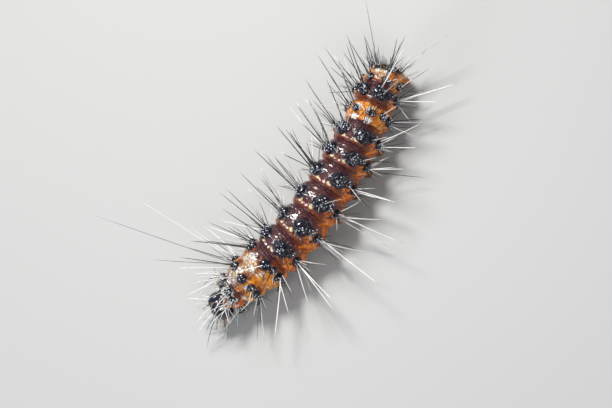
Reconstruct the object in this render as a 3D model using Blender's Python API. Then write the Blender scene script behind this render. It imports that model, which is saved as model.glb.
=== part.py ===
"""Rusty tussock moth larva, life size, standing on a flat surface with its body curved to its right.

The frame is +X towards the head, +Y to the larva's left and +Z up. The origin is on the surface that
the larva stands on, below the middle of its outline. Sizes are in millimetres and degrees, and every
mesh is scaled to metres as it is made. A station is a distance behind the neck, along the body.
"""

import math
import random
from dataclasses import dataclass

import bmesh
import bpy
import numpy as np
from mathutils import Matrix, Vector

MM = 0.001
GAP = 0.3
ORIGIN_X = -2.731
ORIGIN_Y = 2.876

# The axis seen from above: where the neck is, which way it points there, and how fast it turns.
NECK_X = 12.14
NECK_Y = 0.64
NECK_HEADING = -27.3
FRONT_BEND = 2.4
REAR_BEND = 1.3
BEND_CHANGE = 12.1
TWIST = 12.0
TWIST_FROM = 8.7
TWIST_TO = 19.7
AXIS_STEP = 0.05

# The trunk: its flat belly, and its axis above that as a share of the radius.
BELLY_HEIGHT = 1.35
AXIS_SHARE = 0.8
TRUNK_SIDES = 16
RING_STATIONS = (0.0, 0.14, 0.38, 0.62, 0.86, 1.0)
FOLD_DEPTH = 0.13
TAIL_STATIONS = (0.0, 0.22, 0.5, 0.74, 0.9, 1.0)
TAIL_SHARES = (0.94, 1.0, 0.93, 0.76, 0.55, 0.3)

WART_SIDES = 7
WART_RINGS = 4
SPINE_SIDES = 4
SPINE_ROOT_RADIUS = 0.28
SPINE_MIDDLE_RADIUS = 0.25
SPINE_MIDDLE = 0.55
SPINE_DROOP = 0.06
SPINE_SAMPLES = 14
SPINE_SPACING = 0.05
SPINE_TRIES = 60
ROOT_SAMPLES = 4
ROOT_SPREAD = 0.6
ROOT_DEPTH = 0.22
SEED = 3


@dataclass(frozen=True)
class WartKind:
    """One pair of warts: its angle from the back's middle, its place along the ring and its spines."""

    angle: float
    along: float
    radius: float
    height: float
    spines: int
    shortest: float
    longest: float
    fan: float
    on_back: bool = False


TRUNK_WARTS = (
    WartKind(33, 0.52, 0.68, 0.42, 4, 3.6, 7.2, 28, on_back=True),
    WartKind(57, 0.6, 0.42, 0.3, 2, 3.0, 4.4, 26),
    WartKind(84, 0.55, 0.5, 0.38, 3, 3.8, 7.2, 30),
    WartKind(116, 0.5, 0.36, 0.26, 1, 1.8, 3.0, 24),
)
NECK_WARTS = (
    WartKind(24, 0.6, 0.42, 0.26, 4, 3.2, 4.6, 24, on_back=True),
    WartKind(56, 0.52, 0.4, 0.3, 3, 3.0, 4.4, 24),
    WartKind(78, 0.36, 0.56, 0.6, 4, 3.0, 4.8, 26),
    WartKind(122, 0.5, 0.34, 0.24, 2, 1.8, 2.6, 20),
)
RUMP_WARTS = (
    WartKind(24, 0.5, 0.42, 0.3, 3, 3.4, 5.4, 22, on_back=True),
    WartKind(78, 0.5, 0.4, 0.32, 2, 2.8, 4.2, 20),
)
TAIL_WARTS = (
    WartKind(24, 0.5, 0.42, 0.2, 3, 3.6, 6.0, 20, on_back=True),
    WartKind(66, 0.6, 0.4, 0.24, 3, 3.0, 4.8, 24),
)


@dataclass(frozen=True)
class Ring:
    """One ring of the trunk, with the lean of its tufts towards the head and the shift of its warts back."""

    name: str
    length: float
    radius: float
    lean: float
    slot: str = "plum"
    warts: tuple = TRUNK_WARTS
    back_angle: float = 33
    back_share: float = 1.0
    shift: float = 0.0


RINGS = (
    Ring("prothorax", 1.5, 1.75, 56, "amber", NECK_WARTS, 24),
    Ring("mesothorax", 2.3, 2.26, 30, "orange", back_angle=22, shift=0.1),
    Ring("metathorax", 2.6, 2.5, 26, "orange", shift=0.16),
    Ring("abdomen_1", 2.6, 2.52, 4),
    Ring("abdomen_2", 2.9, 2.54, -6),
    Ring("abdomen_3", 2.9, 2.52, -12),
    Ring("abdomen_4", 2.65, 2.5, -15),
    Ring("abdomen_5", 2.4, 2.46, -20),
    Ring("abdomen_6", 2.4, 2.38, -20, back_angle=28),
    Ring("abdomen_7", 2.4, 2.22, -20, "orange", back_angle=24, back_share=0.55),
    Ring("abdomen_8", 1.95, 2.24, -20, back_angle=22),
    Ring("abdomen_9", 1.15, 1.98, -34, "orange", RUMP_WARTS, 24),
    Ring("abdomen_10", 1.7, 1.68, -54, "amber", TAIL_WARTS, 24),
)


@dataclass(frozen=True)
class LongSpine:
    """One of the longest bristles: its ring, its wart's angle and side, and its reach from the wart's top."""

    ring: str
    angle: float
    side: int
    reach: tuple


LONG_SPINES = (
    LongSpine("mesothorax", 33, -1, (4.8, -12.1, 7.6)),
    LongSpine("mesothorax", 57, -1, (1.3, -9.2, 6.0)),
    LongSpine("abdomen_1", 84, 1, (1.5, 7.5, 0.4)),
    LongSpine("abdomen_2", 84, 1, (0.1, 9.3, 0.8)),
    LongSpine("abdomen_3", 84, 1, (-1.2, 8.7, 0.9)),
    LongSpine("abdomen_10", 66, 1, (-5.9, 2.8, 1.6)),
    LongSpine("abdomen_10", 24, -1, (-4.1, -2.5, 5.0)),
)
# How far a long spine may turn from its reach to stay clear of others, as a tangent.
LONG_SPINE_TURN = 0.2
LONG_SPINE_TRIES = 600
# The length that one set of sample balls covers.
SAMPLED_LENGTH = 7.2

# The head, in its own axes: +X out of its face and +Z to its crown. It hangs a little to the left.
HEAD_PITCH = 20.0
HEAD_AHEAD = 0.9
HEAD_LEFT = 0.6
HEAD_HEIGHT = 2.3
HEAD_HALF = Vector((1.2, 1.5, 1.45))
HEAD_SIDES = 24
HEAD_LEVELS = 14
MOUTH_LEVEL = -1.08
CLEFT_DEPTH = 0.15
CLEFT_WIDTH = 0.26
CLEFT_FROM = -0.4
CLEFT_TO = 0.5
BROW_FURROW = 0.05
BROW_SLOPE = 0.62
BROW_TOP = 0.35
EYE_X = 0.34
EYE_Z = -0.36
EYE_RADIUS = 0.46
EYE_SIDES = 14
EYE_SEAT = 0.94
EYE_CUT_GAP = 0.2
LENS_COUNT = 6
LENS_RADIUS = 0.13
LENS_SIDES = 6
LENS_RINGS = 4
LENS_ARC_RADIUS = 0.28
LENS_ARC_START = 200
LENS_ARC_STEP = 46
LENS_SINK = 0.03
OUTSIDE = 3.0
LIP_DROP = 0.5
LIP_BEVEL = 0.3
LABRUM_FRONT = (0.6, 0.95)
LABRUM_HALF_WIDTH = 0.5
LABRUM_TAPER = 0.8
JAW_FRONT = (-0.12, 0.28)
JAW_SIDES = (0.17, 0.8)
JAW_TAPER = 0.7
FEELER_ROOT = (0.78, 0.84, -0.78)
FEELER_WAY = (0.75, 0.55, -0.35)
FEELER_LENGTH = 0.8
FEELER_RADII = (0.26, 0.1)
FEELER_SIDES = 8

# True legs: rows of outward, forward, height above the surface and radius, from the hip to the claw.
LEG_SPREADS = (0.72, 0.92, 1.0)
LEG_PLACES = (0.5, 0.45, 0.45)
LEG_JOINTS = (
    (0.0, 0.0, BELLY_HEIGHT - GAP, 0.42),
    (0.34, 0.12, 0.66, 0.34),
    (0.5, 0.36, 0.3, 0.27),
    (0.46, 0.62, 0.0, 0.25),
)
LEG_SIDES = 8

# Belly legs: rows of height as a share of the whole, radius and outward shift.
PROLEG_RINGS = (
    (1.0, 0.56, 0.0),
    (0.62, 0.45, 0.06),
    (0.28, 0.4, 0.1),
    (0.1, 0.5, 0.12),
    (0.0, 0.46, 0.12),
)
PROLEG_NUMBERS = (3, 4, 5, 6)
PROLEG_SPREAD = 0.98
ANAL_PROLEG_SPREAD = 0.72
PROLEG_SIDES = 10
SIDES = ((1, "left"), (-1, "right"))

COLOURS = {
    "orange": ((0.78, 0.27, 0.03, 1.0), 0.32),
    "plum": ((0.13, 0.045, 0.05, 1.0), 0.3),
    "black": ((0.012, 0.011, 0.016, 1.0), 0.18),
    "amber": ((0.55, 0.25, 0.07, 1.0), 0.35),
}
SHARP_ANGLE = 35


def clear_scene():
    """Remove the start-up scene's objects."""
    for item in list(bpy.data.objects):
        bpy.data.objects.remove(item)


def mix(low, high, share):
    return low + (high - low) * share


def smooth_step(low, high, value):
    share = min(1.0, max(0.0, (value - low) / (high - low)))
    return share * share * (3 - 2 * share)


def ring_starts():
    """The station at which each ring starts, and the one at which the body ends."""
    starts = [0.0]
    for ring in RINGS:
        starts.append(starts[-1] + ring.length)
    return starts


STARTS = ring_starts()


def ring_middle(index):
    return (STARTS[index] + STARTS[index + 1]) / 2


def heading(station):
    """Direction of the axis seen from above, in radians from +X."""
    front = min(max(station, 0.0), BEND_CHANGE)
    rear = max(station - BEND_CHANGE, 0.0)
    return math.radians(NECK_HEADING + FRONT_BEND * front + REAR_BEND * rear)


def axis_track():
    """The axis seen from above, a point every AXIS_STEP from the neck back, found by adding short steps."""
    x, y = NECK_X - ORIGIN_X, NECK_Y - ORIGIN_Y
    track = [(x, y)]
    for step in range(round(STARTS[-1] / AXIS_STEP) + 2):
        angle = heading((step + 0.5) * AXIS_STEP)
        x -= AXIS_STEP * math.cos(angle)
        y -= AXIS_STEP * math.sin(angle)
        track.append((x, y))
    return np.array(track)


TRACK = axis_track()


def body_radius(station):
    """The radius, eased from each ring's middle to the next so that the body tapers without steps."""
    if station <= ring_middle(0):
        return RINGS[0].radius
    for index in range(len(RINGS) - 1):
        if station <= ring_middle(index + 1):
            share = smooth_step(ring_middle(index), ring_middle(index + 1), station)
            return mix(RINGS[index].radius, RINGS[index + 1].radius, share)
    return RINGS[-1].radius


def axis_frame(station):
    """Centre, forward and left directions of the body at a station; ahead of the neck it runs straight on."""
    angle = heading(station)
    forward = Vector((math.cos(angle), math.sin(angle), 0))
    left = Vector((-math.sin(angle), math.cos(angle), 0))
    place = max(station, 0.0) / AXIS_STEP
    index = min(int(place), len(TRACK) - 2)
    x, y = mix(TRACK[index], TRACK[index + 1], place - index)
    height = BELLY_HEIGHT + AXIS_SHARE * body_radius(station)
    centre = Vector((x, y, height)) + forward * max(-station, 0.0)
    return centre, forward, left


def outward(station, angle):
    """Unit vector out of the body, at an angle from the back's middle to the left, with the body's twist."""
    _, _, left = axis_frame(station)
    turned = angle + math.radians(TWIST) * smooth_step(TWIST_FROM, TWIST_TO, station)
    return left * math.sin(turned) + Vector((0, 0, math.cos(turned)))


def turned_out(shape):
    """The closed bmesh with its faces to the outside."""
    if shape.calc_volume(signed=True) < 0:
        bmesh.ops.reverse_faces(shape, faces=shape.faces)
    return shape


def drum(sides, stations, place, top=1):
    """A closed cylinder whose rings are moved to place(station, angle), or a cone where top is 0.

    The station is one of stations, in order along the cylinder, and the angle runs round it in radians.
    """
    shape = bmesh.new()
    bmesh.ops.create_cone(
        shape, cap_ends=True, segments=sides, radius1=1, radius2=top, depth=1
    )
    long_edges = [e for e in shape.edges if abs(e.verts[0].co.z - e.verts[1].co.z) > 0.5]
    bmesh.ops.subdivide_edges(shape, edges=long_edges, cuts=len(stations) - 2)
    for vertex in shape.verts:
        index = round((vertex.co.z + 0.5) * (len(stations) - 1))
        angle = math.atan2(vertex.co.y, vertex.co.x)
        vertex.co = place(stations[index], angle) * MM
    return turned_out(shape)


def rod(name, start, end, start_radius, end_radius, sides):
    """A closed tapering rod between two points."""
    axis = (end - start).normalized()
    across = axis.orthogonal().normalized()
    other = axis.cross(across)

    def place(share, angle):
        ring = across * math.cos(angle) + other * math.sin(angle)
        return start.lerp(end, share) + ring * mix(start_radius, end_radius, share)

    return as_object(name, drum(sides, (0.0, 1.0), place))


def dome(name, centre, axis, radius, height, sides=WART_SIDES, rings=WART_RINGS):
    """A low closed mound, its middle at centre and its top along axis."""
    shape = bmesh.new()
    turn = axis.to_track_quat("Z", "Y").to_matrix().to_4x4()
    size = Matrix.Diagonal((radius * MM, radius * MM, height * MM, 1))
    bmesh.ops.create_uvsphere(
        shape,
        u_segments=sides,
        v_segments=rings,
        radius=1,
        matrix=Matrix.Translation(centre * MM) @ turn @ size,
    )
    return as_object(name, shape)


def as_object(name, shape):
    """The bmesh as an object in the model's collection."""
    mesh = bpy.data.meshes.new(name)
    shape.to_mesh(mesh)
    shape.free()
    item = bpy.data.objects.new(name, mesh)
    MODEL.objects.link(item)
    return item


def keep_largest_surface(mesh):
    """Delete every closed surface of the mesh but the one with the most area."""
    shape = bmesh.new()
    shape.from_mesh(mesh)
    left = set(shape.faces)
    surfaces = []
    while left:
        waiting = [left.pop()]
        surface = list(waiting)
        while waiting:
            for edge in waiting.pop().edges:
                for face in left.intersection(edge.link_faces):
                    left.remove(face)
                    waiting.append(face)
                    surface.append(face)
        surfaces.append(surface)
    surfaces.sort(key=lambda surface: sum(face.calc_area() for face in surface))
    loose = [face for surface in surfaces[:-1] for face in surface]
    bmesh.ops.delete(shape, geom=loose, context="FACES")
    shape.to_mesh(mesh)
    shape.free()


def combine(base, pieces, operation="UNION"):
    """Apply one Boolean of all the pieces to the base, and remove the pieces."""
    pool = bpy.data.collections.new("pool")
    bpy.context.scene.collection.children.link(pool)
    for piece in pieces:
        MODEL.objects.unlink(piece)
        pool.objects.link(piece)
    modifier = base.modifiers.new("combine", "BOOLEAN")
    modifier.operation = operation
    modifier.operand_type = "COLLECTION"
    modifier.collection = pool
    bpy.context.view_layer.update()
    graph = bpy.context.evaluated_depsgraph_get()
    mesh = bpy.data.meshes.new_from_object(base.evaluated_get(graph))
    base.modifiers.clear()
    base.data = mesh
    for piece in pieces:
        bpy.data.objects.remove(piece)
    bpy.data.collections.remove(pool)
    keep_largest_surface(mesh)


def material(slot):
    """The Principled material of a colour slot, made once."""
    found = bpy.data.materials.get(slot)
    if found:
        return found
    colour, roughness = COLOURS[slot]
    made = bpy.data.materials.new(slot)
    made.use_nodes = True
    shader = made.node_tree.nodes["Principled BSDF"]
    shader.inputs["Base Color"].default_value = colour
    shader.inputs["Roughness"].default_value = roughness
    return made


def dress(item, slot):
    """Give the finished object its material and smooth its round sides."""
    item.data.materials.clear()
    item.data.materials.append(material(slot))
    item.data.shade_smooth()
    item.data.set_sharp_from_angle(angle=math.radians(SHARP_ANGLE))


def spine_radius(share):
    """The spine's radius at a share of its length from the root."""
    if share < SPINE_MIDDLE:
        return mix(SPINE_ROOT_RADIUS, SPINE_MIDDLE_RADIUS, share / SPINE_MIDDLE)
    return SPINE_MIDDLE_RADIUS * (1 - share) / (1 - SPINE_MIDDLE)


@dataclass
class Spine:
    """One stout bristle: a tapering rod that droops a little towards its tip."""

    root: Vector
    direction: Vector
    length: float
    droop: float

    def point(self, share):
        sag = Vector((0, 0, -self.droop * share * share))
        return self.root + (self.direction * share + sag) * self.length

    def balls(self):
        """Balls along the spine, as rows of x, y, z and radius."""
        count = SPINE_SAMPLES * max(math.ceil(self.length / SAMPLED_LENGTH), 1)
        shares = [i / (count - 1) for i in range(count)]
        return np.array([(*self.point(share), spine_radius(share)) for share in shares])

    def solid(self):
        across = self.direction.orthogonal().normalized()
        other = self.direction.cross(across)

        def place(share, angle):
            ring = across * math.cos(angle) + other * math.sin(angle)
            return self.point(share) + ring * spine_radius(share)

        return as_object("spine", drum(SPINE_SIDES, (0.0, SPINE_MIDDLE, 1.0), place, top=0))


class Wart:
    """A wart of one ring, on one side, from which a tuft of spines grows."""

    def __init__(self, index, kind, side):
        ring = RINGS[index]
        share = ring.back_share if kind.on_back else 1.0
        self.ring = index
        self.kind = kind
        self.side = side
        self.radius = kind.radius * share
        self.height = kind.height * share
        self.spines = math.ceil(kind.spines * share)
        self.station = STARTS[index] + (kind.along + ring.shift) * ring.length
        angle = math.radians(ring.back_angle if kind.on_back else kind.angle) * side
        self.normal = outward(self.station, angle)
        axis, self.forward, _ = axis_frame(self.station)
        self.centre = axis + self.normal * body_radius(self.station)
        self.centre.z = max(self.centre.z, BELLY_HEIGHT)
        self.around = self.forward.cross(self.normal) * side

    def solid(self):
        return dome("wart", self.centre, self.normal, self.radius, self.height)

    def spine(self, number, chance):
        """One of the tuft's spines, each rooted at its own place round the wart and fanned out from there."""
        turn = math.tau * (number + chance.uniform(0.1, 0.9)) / self.spines
        fan = math.tan(math.radians(self.kind.fan) * chance.uniform(0.35, 1.0))
        if self.spines == 1:
            fan /= 2
        lean = math.tan(math.radians(RINGS[self.ring].lean))
        spread = self.forward * math.cos(turn) + self.around * math.sin(turn)
        direction = (self.normal + self.forward * lean + spread * fan).normalized()
        root = self.centre + spread * self.radius * ROOT_SPREAD - self.normal * ROOT_DEPTH
        length = mix(self.kind.shortest, self.kind.longest, chance.random() ** 0.7)
        return Spine(root, direction, length, SPINE_DROOP * chance.random())


    def long_spine(self, reach, chance):
        """A spine out to a given reach, turned a little and rooted at a random place round the wart."""
        turn = math.tau * chance.random()
        spread = self.forward * math.cos(turn) + self.around * math.sin(turn)
        direction = (reach.normalized() + spread * LONG_SPINE_TURN * chance.random()).normalized()
        root = self.centre + spread * self.radius * ROOT_SPREAD - self.normal * ROOT_DEPTH
        return Spine(root, direction, reach.length + self.height, 0.0)

    def carries(self, row):
        """Whether a long spine grows from this wart."""
        return (RINGS[self.ring].name, self.kind.angle, self.side) == (row.ring, row.angle, row.side)


def all_warts():
    return [
        Wart(index, kind, side)
        for index, ring in enumerate(RINGS)
        for kind in ring.warts
        for side, _ in SIDES
    ]


def hip(station, spread, side):
    """The middle of a leg's top, just below the belly, and the direction out to its side."""
    centre, _, left = axis_frame(station)
    top = centre + left * side * spread
    top.z = BELLY_HEIGHT - GAP
    return top, left * side


def leg_joint(pair, side, row):
    """The middle of one joint of a true leg."""
    station = STARTS[pair] + LEG_PLACES[pair] * RINGS[pair].length
    top, out = hip(station, LEG_SPREADS[pair], side)
    _, forward, _ = axis_frame(station)
    shift, ahead, height, _ = row
    joint = top + out * shift + forward * ahead
    joint.z = height
    return joint


def belly_legs():
    """Every belly leg as its name, station, spread and side."""
    for side, word in SIDES:
        for number in PROLEG_NUMBERS:
            index = [ring.name for ring in RINGS].index(f"abdomen_{number}")
            yield f"proleg_{number}_{word}", ring_middle(index), PROLEG_SPREAD, side
        yield f"anal_proleg_{word}", ring_middle(len(RINGS) - 1), ANAL_PROLEG_SPREAD, side


def head_frame():
    """Matrix from the head's own axes to the model's."""
    centre, forward, left = axis_frame(-HEAD_AHEAD)
    centre += left * HEAD_LEFT
    centre.z = HEAD_HEIGHT
    turn = Matrix((forward, left, Vector((0, 0, 1)))).transposed().to_4x4()
    pitch = Matrix.Rotation(math.radians(HEAD_PITCH), 4, "Y")
    return Matrix.Translation(centre) @ turn @ pitch


def other_nodes():
    """Balls that fill the head and the legs, and every wart with the ring that owns it."""
    rows, owners = [], []

    def add(point, radius, owner):
        rows.append((*point, radius))
        owners.append(owner)

    for wart in all_warts():
        add(wart.centre, wart.height, wart.ring)
    frame = head_frame()
    crown = HEAD_HALF.y
    for x, z, radius in ((0.0, 0.1, crown), (0.35, -0.3, 0.9 * crown), (0.5, -1.2, 0.5 * crown)):
        add(frame @ Vector((x, 0, z)), radius, None)
    for side, _ in SIDES:
        for pair in range(len(LEG_SPREADS)):
            for row in LEG_JOINTS:
                add(leg_joint(pair, side, row), row[-1] * 1.3, None)
    for _, station, spread, side in belly_legs():
        top, _ = hip(station, spread, side)
        add(top - Vector((0, 0, top.z / 2)), top.z * 0.7, None)
    return np.array(rows), owners


def free_distance(rows, others):
    """The least free distance between two sets of balls."""
    between = np.linalg.norm(rows[:, None, :3] - others[None, :, :3], axis=2)
    return (between - rows[:, None, 3] - others[None, :, 3]).min()


def trunk_distance(rows, own):
    """The least free distance from balls to the rings before and behind their own."""
    least = math.inf
    for x, y, z, radius in rows:
        station = np.hypot(TRACK[:, 0] - x, TRACK[:, 1] - y).argmin() * AXIS_STEP
        centre, _, _ = axis_frame(station)
        beyond = max((Vector((x, y, z)) - centre).length - body_radius(station), 0.0)
        for index in (own - 1, own + 1):
            if 0 <= index < len(RINGS):
                ahead = STARTS[index] + GAP / 2 - station
                behind = station - STARTS[index + 1] + GAP / 2
                least = min(least, math.hypot(max(ahead, behind, 0.0), beyond) - radius)
    return least


def is_clear(rows, own, foreign, taken):
    """Whether a spine keeps the gap to the floor and to other nodes, and a little to its own ring's spines."""
    if (rows[:, 2] - rows[:, 3]).min() < GAP:
        return False
    if trunk_distance(rows, own) < GAP or free_distance(rows, foreign) < GAP:
        return False
    for ring, other in taken:
        if ring == own:
            outer = free_distance(rows[ROOT_SAMPLES:], other[ROOT_SAMPLES:])
            if outer < SPINE_SPACING:
                return False
        elif free_distance(rows, other) < GAP:
            return False
    return True


def planned_spines():
    """Every ring's spines, each drawn again until it is clear: first the tufts, then the longest ones."""
    chance = random.Random(SEED)
    rows, owners = other_nodes()
    taken = []
    plan = [[] for _ in RINGS]

    def plant(wart, tries, draw):
        """Keeps the first drawn spine that is clear."""
        foreign = rows[[owner != wart.ring for owner in owners]]
        for _ in range(tries):
            spine = draw()
            if is_clear(spine.balls(), wart.ring, foreign, taken):
                taken.append((wart.ring, spine.balls()))
                plan[wart.ring].append(spine)
                return

    for wart in all_warts():
        for number in range(wart.spines):
            plant(wart, SPINE_TRIES, lambda: wart.spine(number, chance))
    for row in LONG_SPINES:
        wart = next(wart for wart in all_warts() if wart.carries(row))
        plant(wart, LONG_SPINE_TRIES, lambda: wart.long_spine(Vector(row.reach), chance))
    return plan


def build_ring(index, spines):
    """One ring of the trunk with its warts and spines, flat at its ends and on its belly."""
    ring = RINGS[index]
    is_tail = index == len(RINGS) - 1
    front = STARTS[index] + GAP / 2
    rear = STARTS[index + 1] - (0 if is_tail else GAP / 2)
    stations = TAIL_STATIONS if is_tail else RING_STATIONS

    def place(along, angle):
        if is_tail:
            share = TAIL_SHARES[TAIL_STATIONS.index(along)]
        else:
            share = 1 - FOLD_DEPTH * abs(2 * along - 1) ** 3
        station = mix(front, rear, along)
        centre, _, left = axis_frame(station)
        radius = body_radius(station) * share
        if is_tail:
            centre.z = BELLY_HEIGHT + AXIS_SHARE * radius
        out = left * math.sin(angle) + Vector((0, 0, math.cos(angle)))
        point = centre + out * radius
        point.z = max(point.z, BELLY_HEIGHT)
        return point

    item = as_object(ring.name, drum(TRUNK_SIDES, stations, place))
    warts = [wart.solid() for wart in all_warts() if wart.ring == index]
    combine(item, warts + [spine.solid() for spine in spines])
    dress(item, ring.slot)


def build_head():
    """The hard head: two round lobes with a cleft that forks above the mouth, cut flat behind and below."""
    frame = head_frame()
    shape = bmesh.new()
    bmesh.ops.create_uvsphere(
        shape, u_segments=HEAD_SIDES, v_segments=HEAD_LEVELS, radius=1
    )
    back = Matrix.Rotation(math.radians(-HEAD_PITCH), 3, "Y") @ Vector((1, 0, 0))
    for vertex in shape.verts:
        x, y, z = vertex.co
        cleft = math.exp(-((y / CLEFT_WIDTH) ** 2)) * smooth_step(CLEFT_FROM, CLEFT_TO, z)
        fork = BROW_TOP - abs(y) / BROW_SLOPE
        furrow = math.exp(-(((z - fork) / CLEFT_WIDTH) ** 2)) if x > 0 else 0.0
        share = 1 - CLEFT_DEPTH * cleft - BROW_FURROW * furrow
        point = Vector((x * share, y, z * share)) * HEAD_HALF
        point.z = max(point.z, MOUTH_LEVEL)
        short = GAP / 2 - HEAD_AHEAD - point.dot(back)
        vertex.co = frame @ (point + back * max(short, 0.0)) * MM
    return as_object("head", turned_out(shape))


def build_eyes(head):
    """Each side's patch of six small lenses, let into the head with a thin cut round it."""
    frame = head_frame()
    cuts = []
    for side, word in SIDES:
        outside = frame @ Vector((EYE_X, side * OUTSIDE, EYE_Z))
        seat = frame @ Vector((EYE_X, side * (EYE_SEAT + GAP), EYE_Z))
        floor = frame @ Vector((EYE_X, side * EYE_SEAT, EYE_Z))
        whole = bmesh.new()
        whole.from_mesh(head.data)
        patch = as_object(f"eyes_{word}", whole)
        combine(patch, [rod("plug", seat, outside, EYE_RADIUS, EYE_RADIUS, EYE_SIDES)], "INTERSECT")
        combine(patch, [eye_lens(frame, side, number) for number in range(LENS_COUNT)])
        dress(patch, "black")
        hole = EYE_RADIUS + EYE_CUT_GAP
        cuts.append(rod("cut", floor, outside, hole, hole, EYE_SIDES))
    combine(head, cuts, "DIFFERENCE")


def eye_lens(frame, side, number):
    """One of the small lenses, which stand in an open arc."""
    turn = math.radians(LENS_ARC_START - LENS_ARC_STEP * number)
    x = EYE_X + LENS_ARC_RADIUS * math.cos(turn)
    z = EYE_Z + LENS_ARC_RADIUS * math.sin(turn)
    reach = math.sqrt(1 - (x / HEAD_HALF.x) ** 2 - (z / HEAD_HALF.z) ** 2)
    centre = Vector((x, side * (reach * HEAD_HALF.y - LENS_SINK), z))
    axis = Vector((x / HEAD_HALF.x**2, centre.y / HEAD_HALF.y**2, z / HEAD_HALF.z**2))
    turned = frame.to_3x3() @ axis.normalized()
    return dome("lens", frame @ centre, turned, LENS_RADIUS, LENS_RADIUS, LENS_SIDES, LENS_RINGS)


def mouth_piece(name, low, high, taper):
    """A block with cut edges in the head's own axes, narrower below by the taper."""
    frame = head_frame()
    middle = (low + high) / 2
    half = (high - low) / 2
    shape = bmesh.new()
    bmesh.ops.create_cube(shape, size=2)
    bmesh.ops.bevel(
        shape,
        geom=list(shape.edges),
        affect="EDGES",
        offset=LIP_BEVEL,
        segments=1,
        profile=0.5,
        material=-1,
    )
    for vertex in shape.verts:
        width = taper if vertex.co.z < 0 else 1.0
        local = Vector((vertex.co.x, vertex.co.y * width, vertex.co.z)) * half
        vertex.co = frame @ (middle + local) * MM
    return as_object(name, shape)


def build_mouth():
    """Upper lip and jaws, hanging below the flat of the head."""
    top = MOUTH_LEVEL - GAP
    low = top - LIP_DROP
    near, far = LABRUM_FRONT
    lip_low = Vector((near, -LABRUM_HALF_WIDTH, low))
    lip_high = Vector((far, LABRUM_HALF_WIDTH, top))
    dress(mouth_piece("labrum", lip_low, lip_high, LABRUM_TAPER), "amber")
    for side, word in SIDES:
        inner, outer = sorted(side * edge for edge in JAW_SIDES)
        jaw_low = Vector((JAW_FRONT[0], inner, low))
        jaw_high = Vector((JAW_FRONT[1], outer, top))
        dress(mouth_piece(f"mandible_{word}", jaw_low, jaw_high, JAW_TAPER), "black")


def build_feelers():
    """The two short feelers beside the jaws."""
    frame = head_frame()
    for side, word in SIDES:
        mirror = Vector((1, side, 1))
        way = (Vector(FEELER_WAY) * mirror).normalized()
        start = Vector(FEELER_ROOT) * mirror + way * GAP
        end = start + way * FEELER_LENGTH
        item = rod(f"antenna_{word}", frame @ start, frame @ end, *FEELER_RADII, FEELER_SIDES)
        dress(item, "amber")


def build_leg(pair, side, word):
    """A bent true leg whose claw stands on a small flat."""

    def place(row, angle):
        return leg_joint(pair, side, row) + row[-1] * Vector((math.cos(angle), math.sin(angle), 0))

    dress(as_object(f"leg_{pair + 1}_{word}", drum(LEG_SIDES, LEG_JOINTS, place)), "black")


def build_proleg(name, station, spread, side):
    """A fleshy belly leg: a short pillar that flares into a flat foot."""
    top, out = hip(station, spread, side)

    def place(row, angle):
        level, radius, shift = row
        point = top + out * shift + radius * Vector((math.cos(angle), math.sin(angle), 0))
        point.z = top.z * level
        return point

    dress(as_object(name, drum(PROLEG_SIDES, PROLEG_RINGS, place)), "orange")


def main():
    for index, spines in enumerate(planned_spines()):
        build_ring(index, spines)
    head = build_head()
    build_eyes(head)
    dress(head, "black")
    build_mouth()
    build_feelers()
    for side, word in SIDES:
        for pair in range(len(LEG_SPREADS)):
            build_leg(pair, side, word)
    for leg in belly_legs():
        build_proleg(*leg)


clear_scene()
MODEL = bpy.data.collections.new("rusty_tussock_moth_larva")
bpy.context.scene.collection.children.link(MODEL)
main()
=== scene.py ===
"""Looks of the rusty tussock moth larva: a still, life-size display model on a pale studio floor.

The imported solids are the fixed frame. One fine skin covers the rings and the belly legs; the warts with
their sockets and bristles, the head with its mouth parts and the jointed legs are set on it. Sizes are in
millimetres and degrees, and every mesh is scaled to metres as it is made. A station is a distance behind
the neck along the body. An angle is measured round the body from the middle of the back, towards the
larva's left.
"""

import logging
import math
from dataclasses import dataclass, field, replace
from enum import Enum
from typing import Callable, Iterable, Sequence

import bmesh
import bpy
import numpy as np
from mathutils import Matrix, Vector, noise


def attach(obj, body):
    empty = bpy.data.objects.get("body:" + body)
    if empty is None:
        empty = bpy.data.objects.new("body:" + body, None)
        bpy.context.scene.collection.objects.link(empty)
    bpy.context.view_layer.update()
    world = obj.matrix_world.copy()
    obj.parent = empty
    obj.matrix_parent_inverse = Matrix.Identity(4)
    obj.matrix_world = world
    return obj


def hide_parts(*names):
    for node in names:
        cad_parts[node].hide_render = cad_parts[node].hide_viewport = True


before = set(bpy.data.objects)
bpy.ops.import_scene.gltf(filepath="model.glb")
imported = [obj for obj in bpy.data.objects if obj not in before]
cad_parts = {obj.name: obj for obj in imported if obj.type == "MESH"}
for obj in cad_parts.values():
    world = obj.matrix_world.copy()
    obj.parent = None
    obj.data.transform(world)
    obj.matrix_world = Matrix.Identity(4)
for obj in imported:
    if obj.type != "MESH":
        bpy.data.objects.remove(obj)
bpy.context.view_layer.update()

LOG = logging.getLogger("larva")
MM = 0.001
SEED = 7
SIDES = ((1, "left"), (-1, "right"))
GOLDEN_ANGLE = 2.39996
GOLDEN_SHARE = 0.618
Pair = tuple[float, float]
Triple = tuple[float, float, float]
Array = np.ndarray
Material = bpy.types.Material
Shape = bmesh.types.BMesh
Socket = bpy.types.NodeSocket


class Pattern(Enum):
    """The colour pattern of a ring."""

    COLLAR = "collar"
    MIDDLE = "middle"
    HIND = "hind"
    SADDLE = "saddle"
    NETTED = "netted"
    RUMP = "rump"
    TAIL = "tail"


class Row(Enum):
    """The row of warts along the body that a wart belongs to."""

    FRONT = "front"
    BACK = "back"
    UPPER = "upper"
    SIDE = "side"
    LOW = "low"


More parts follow.
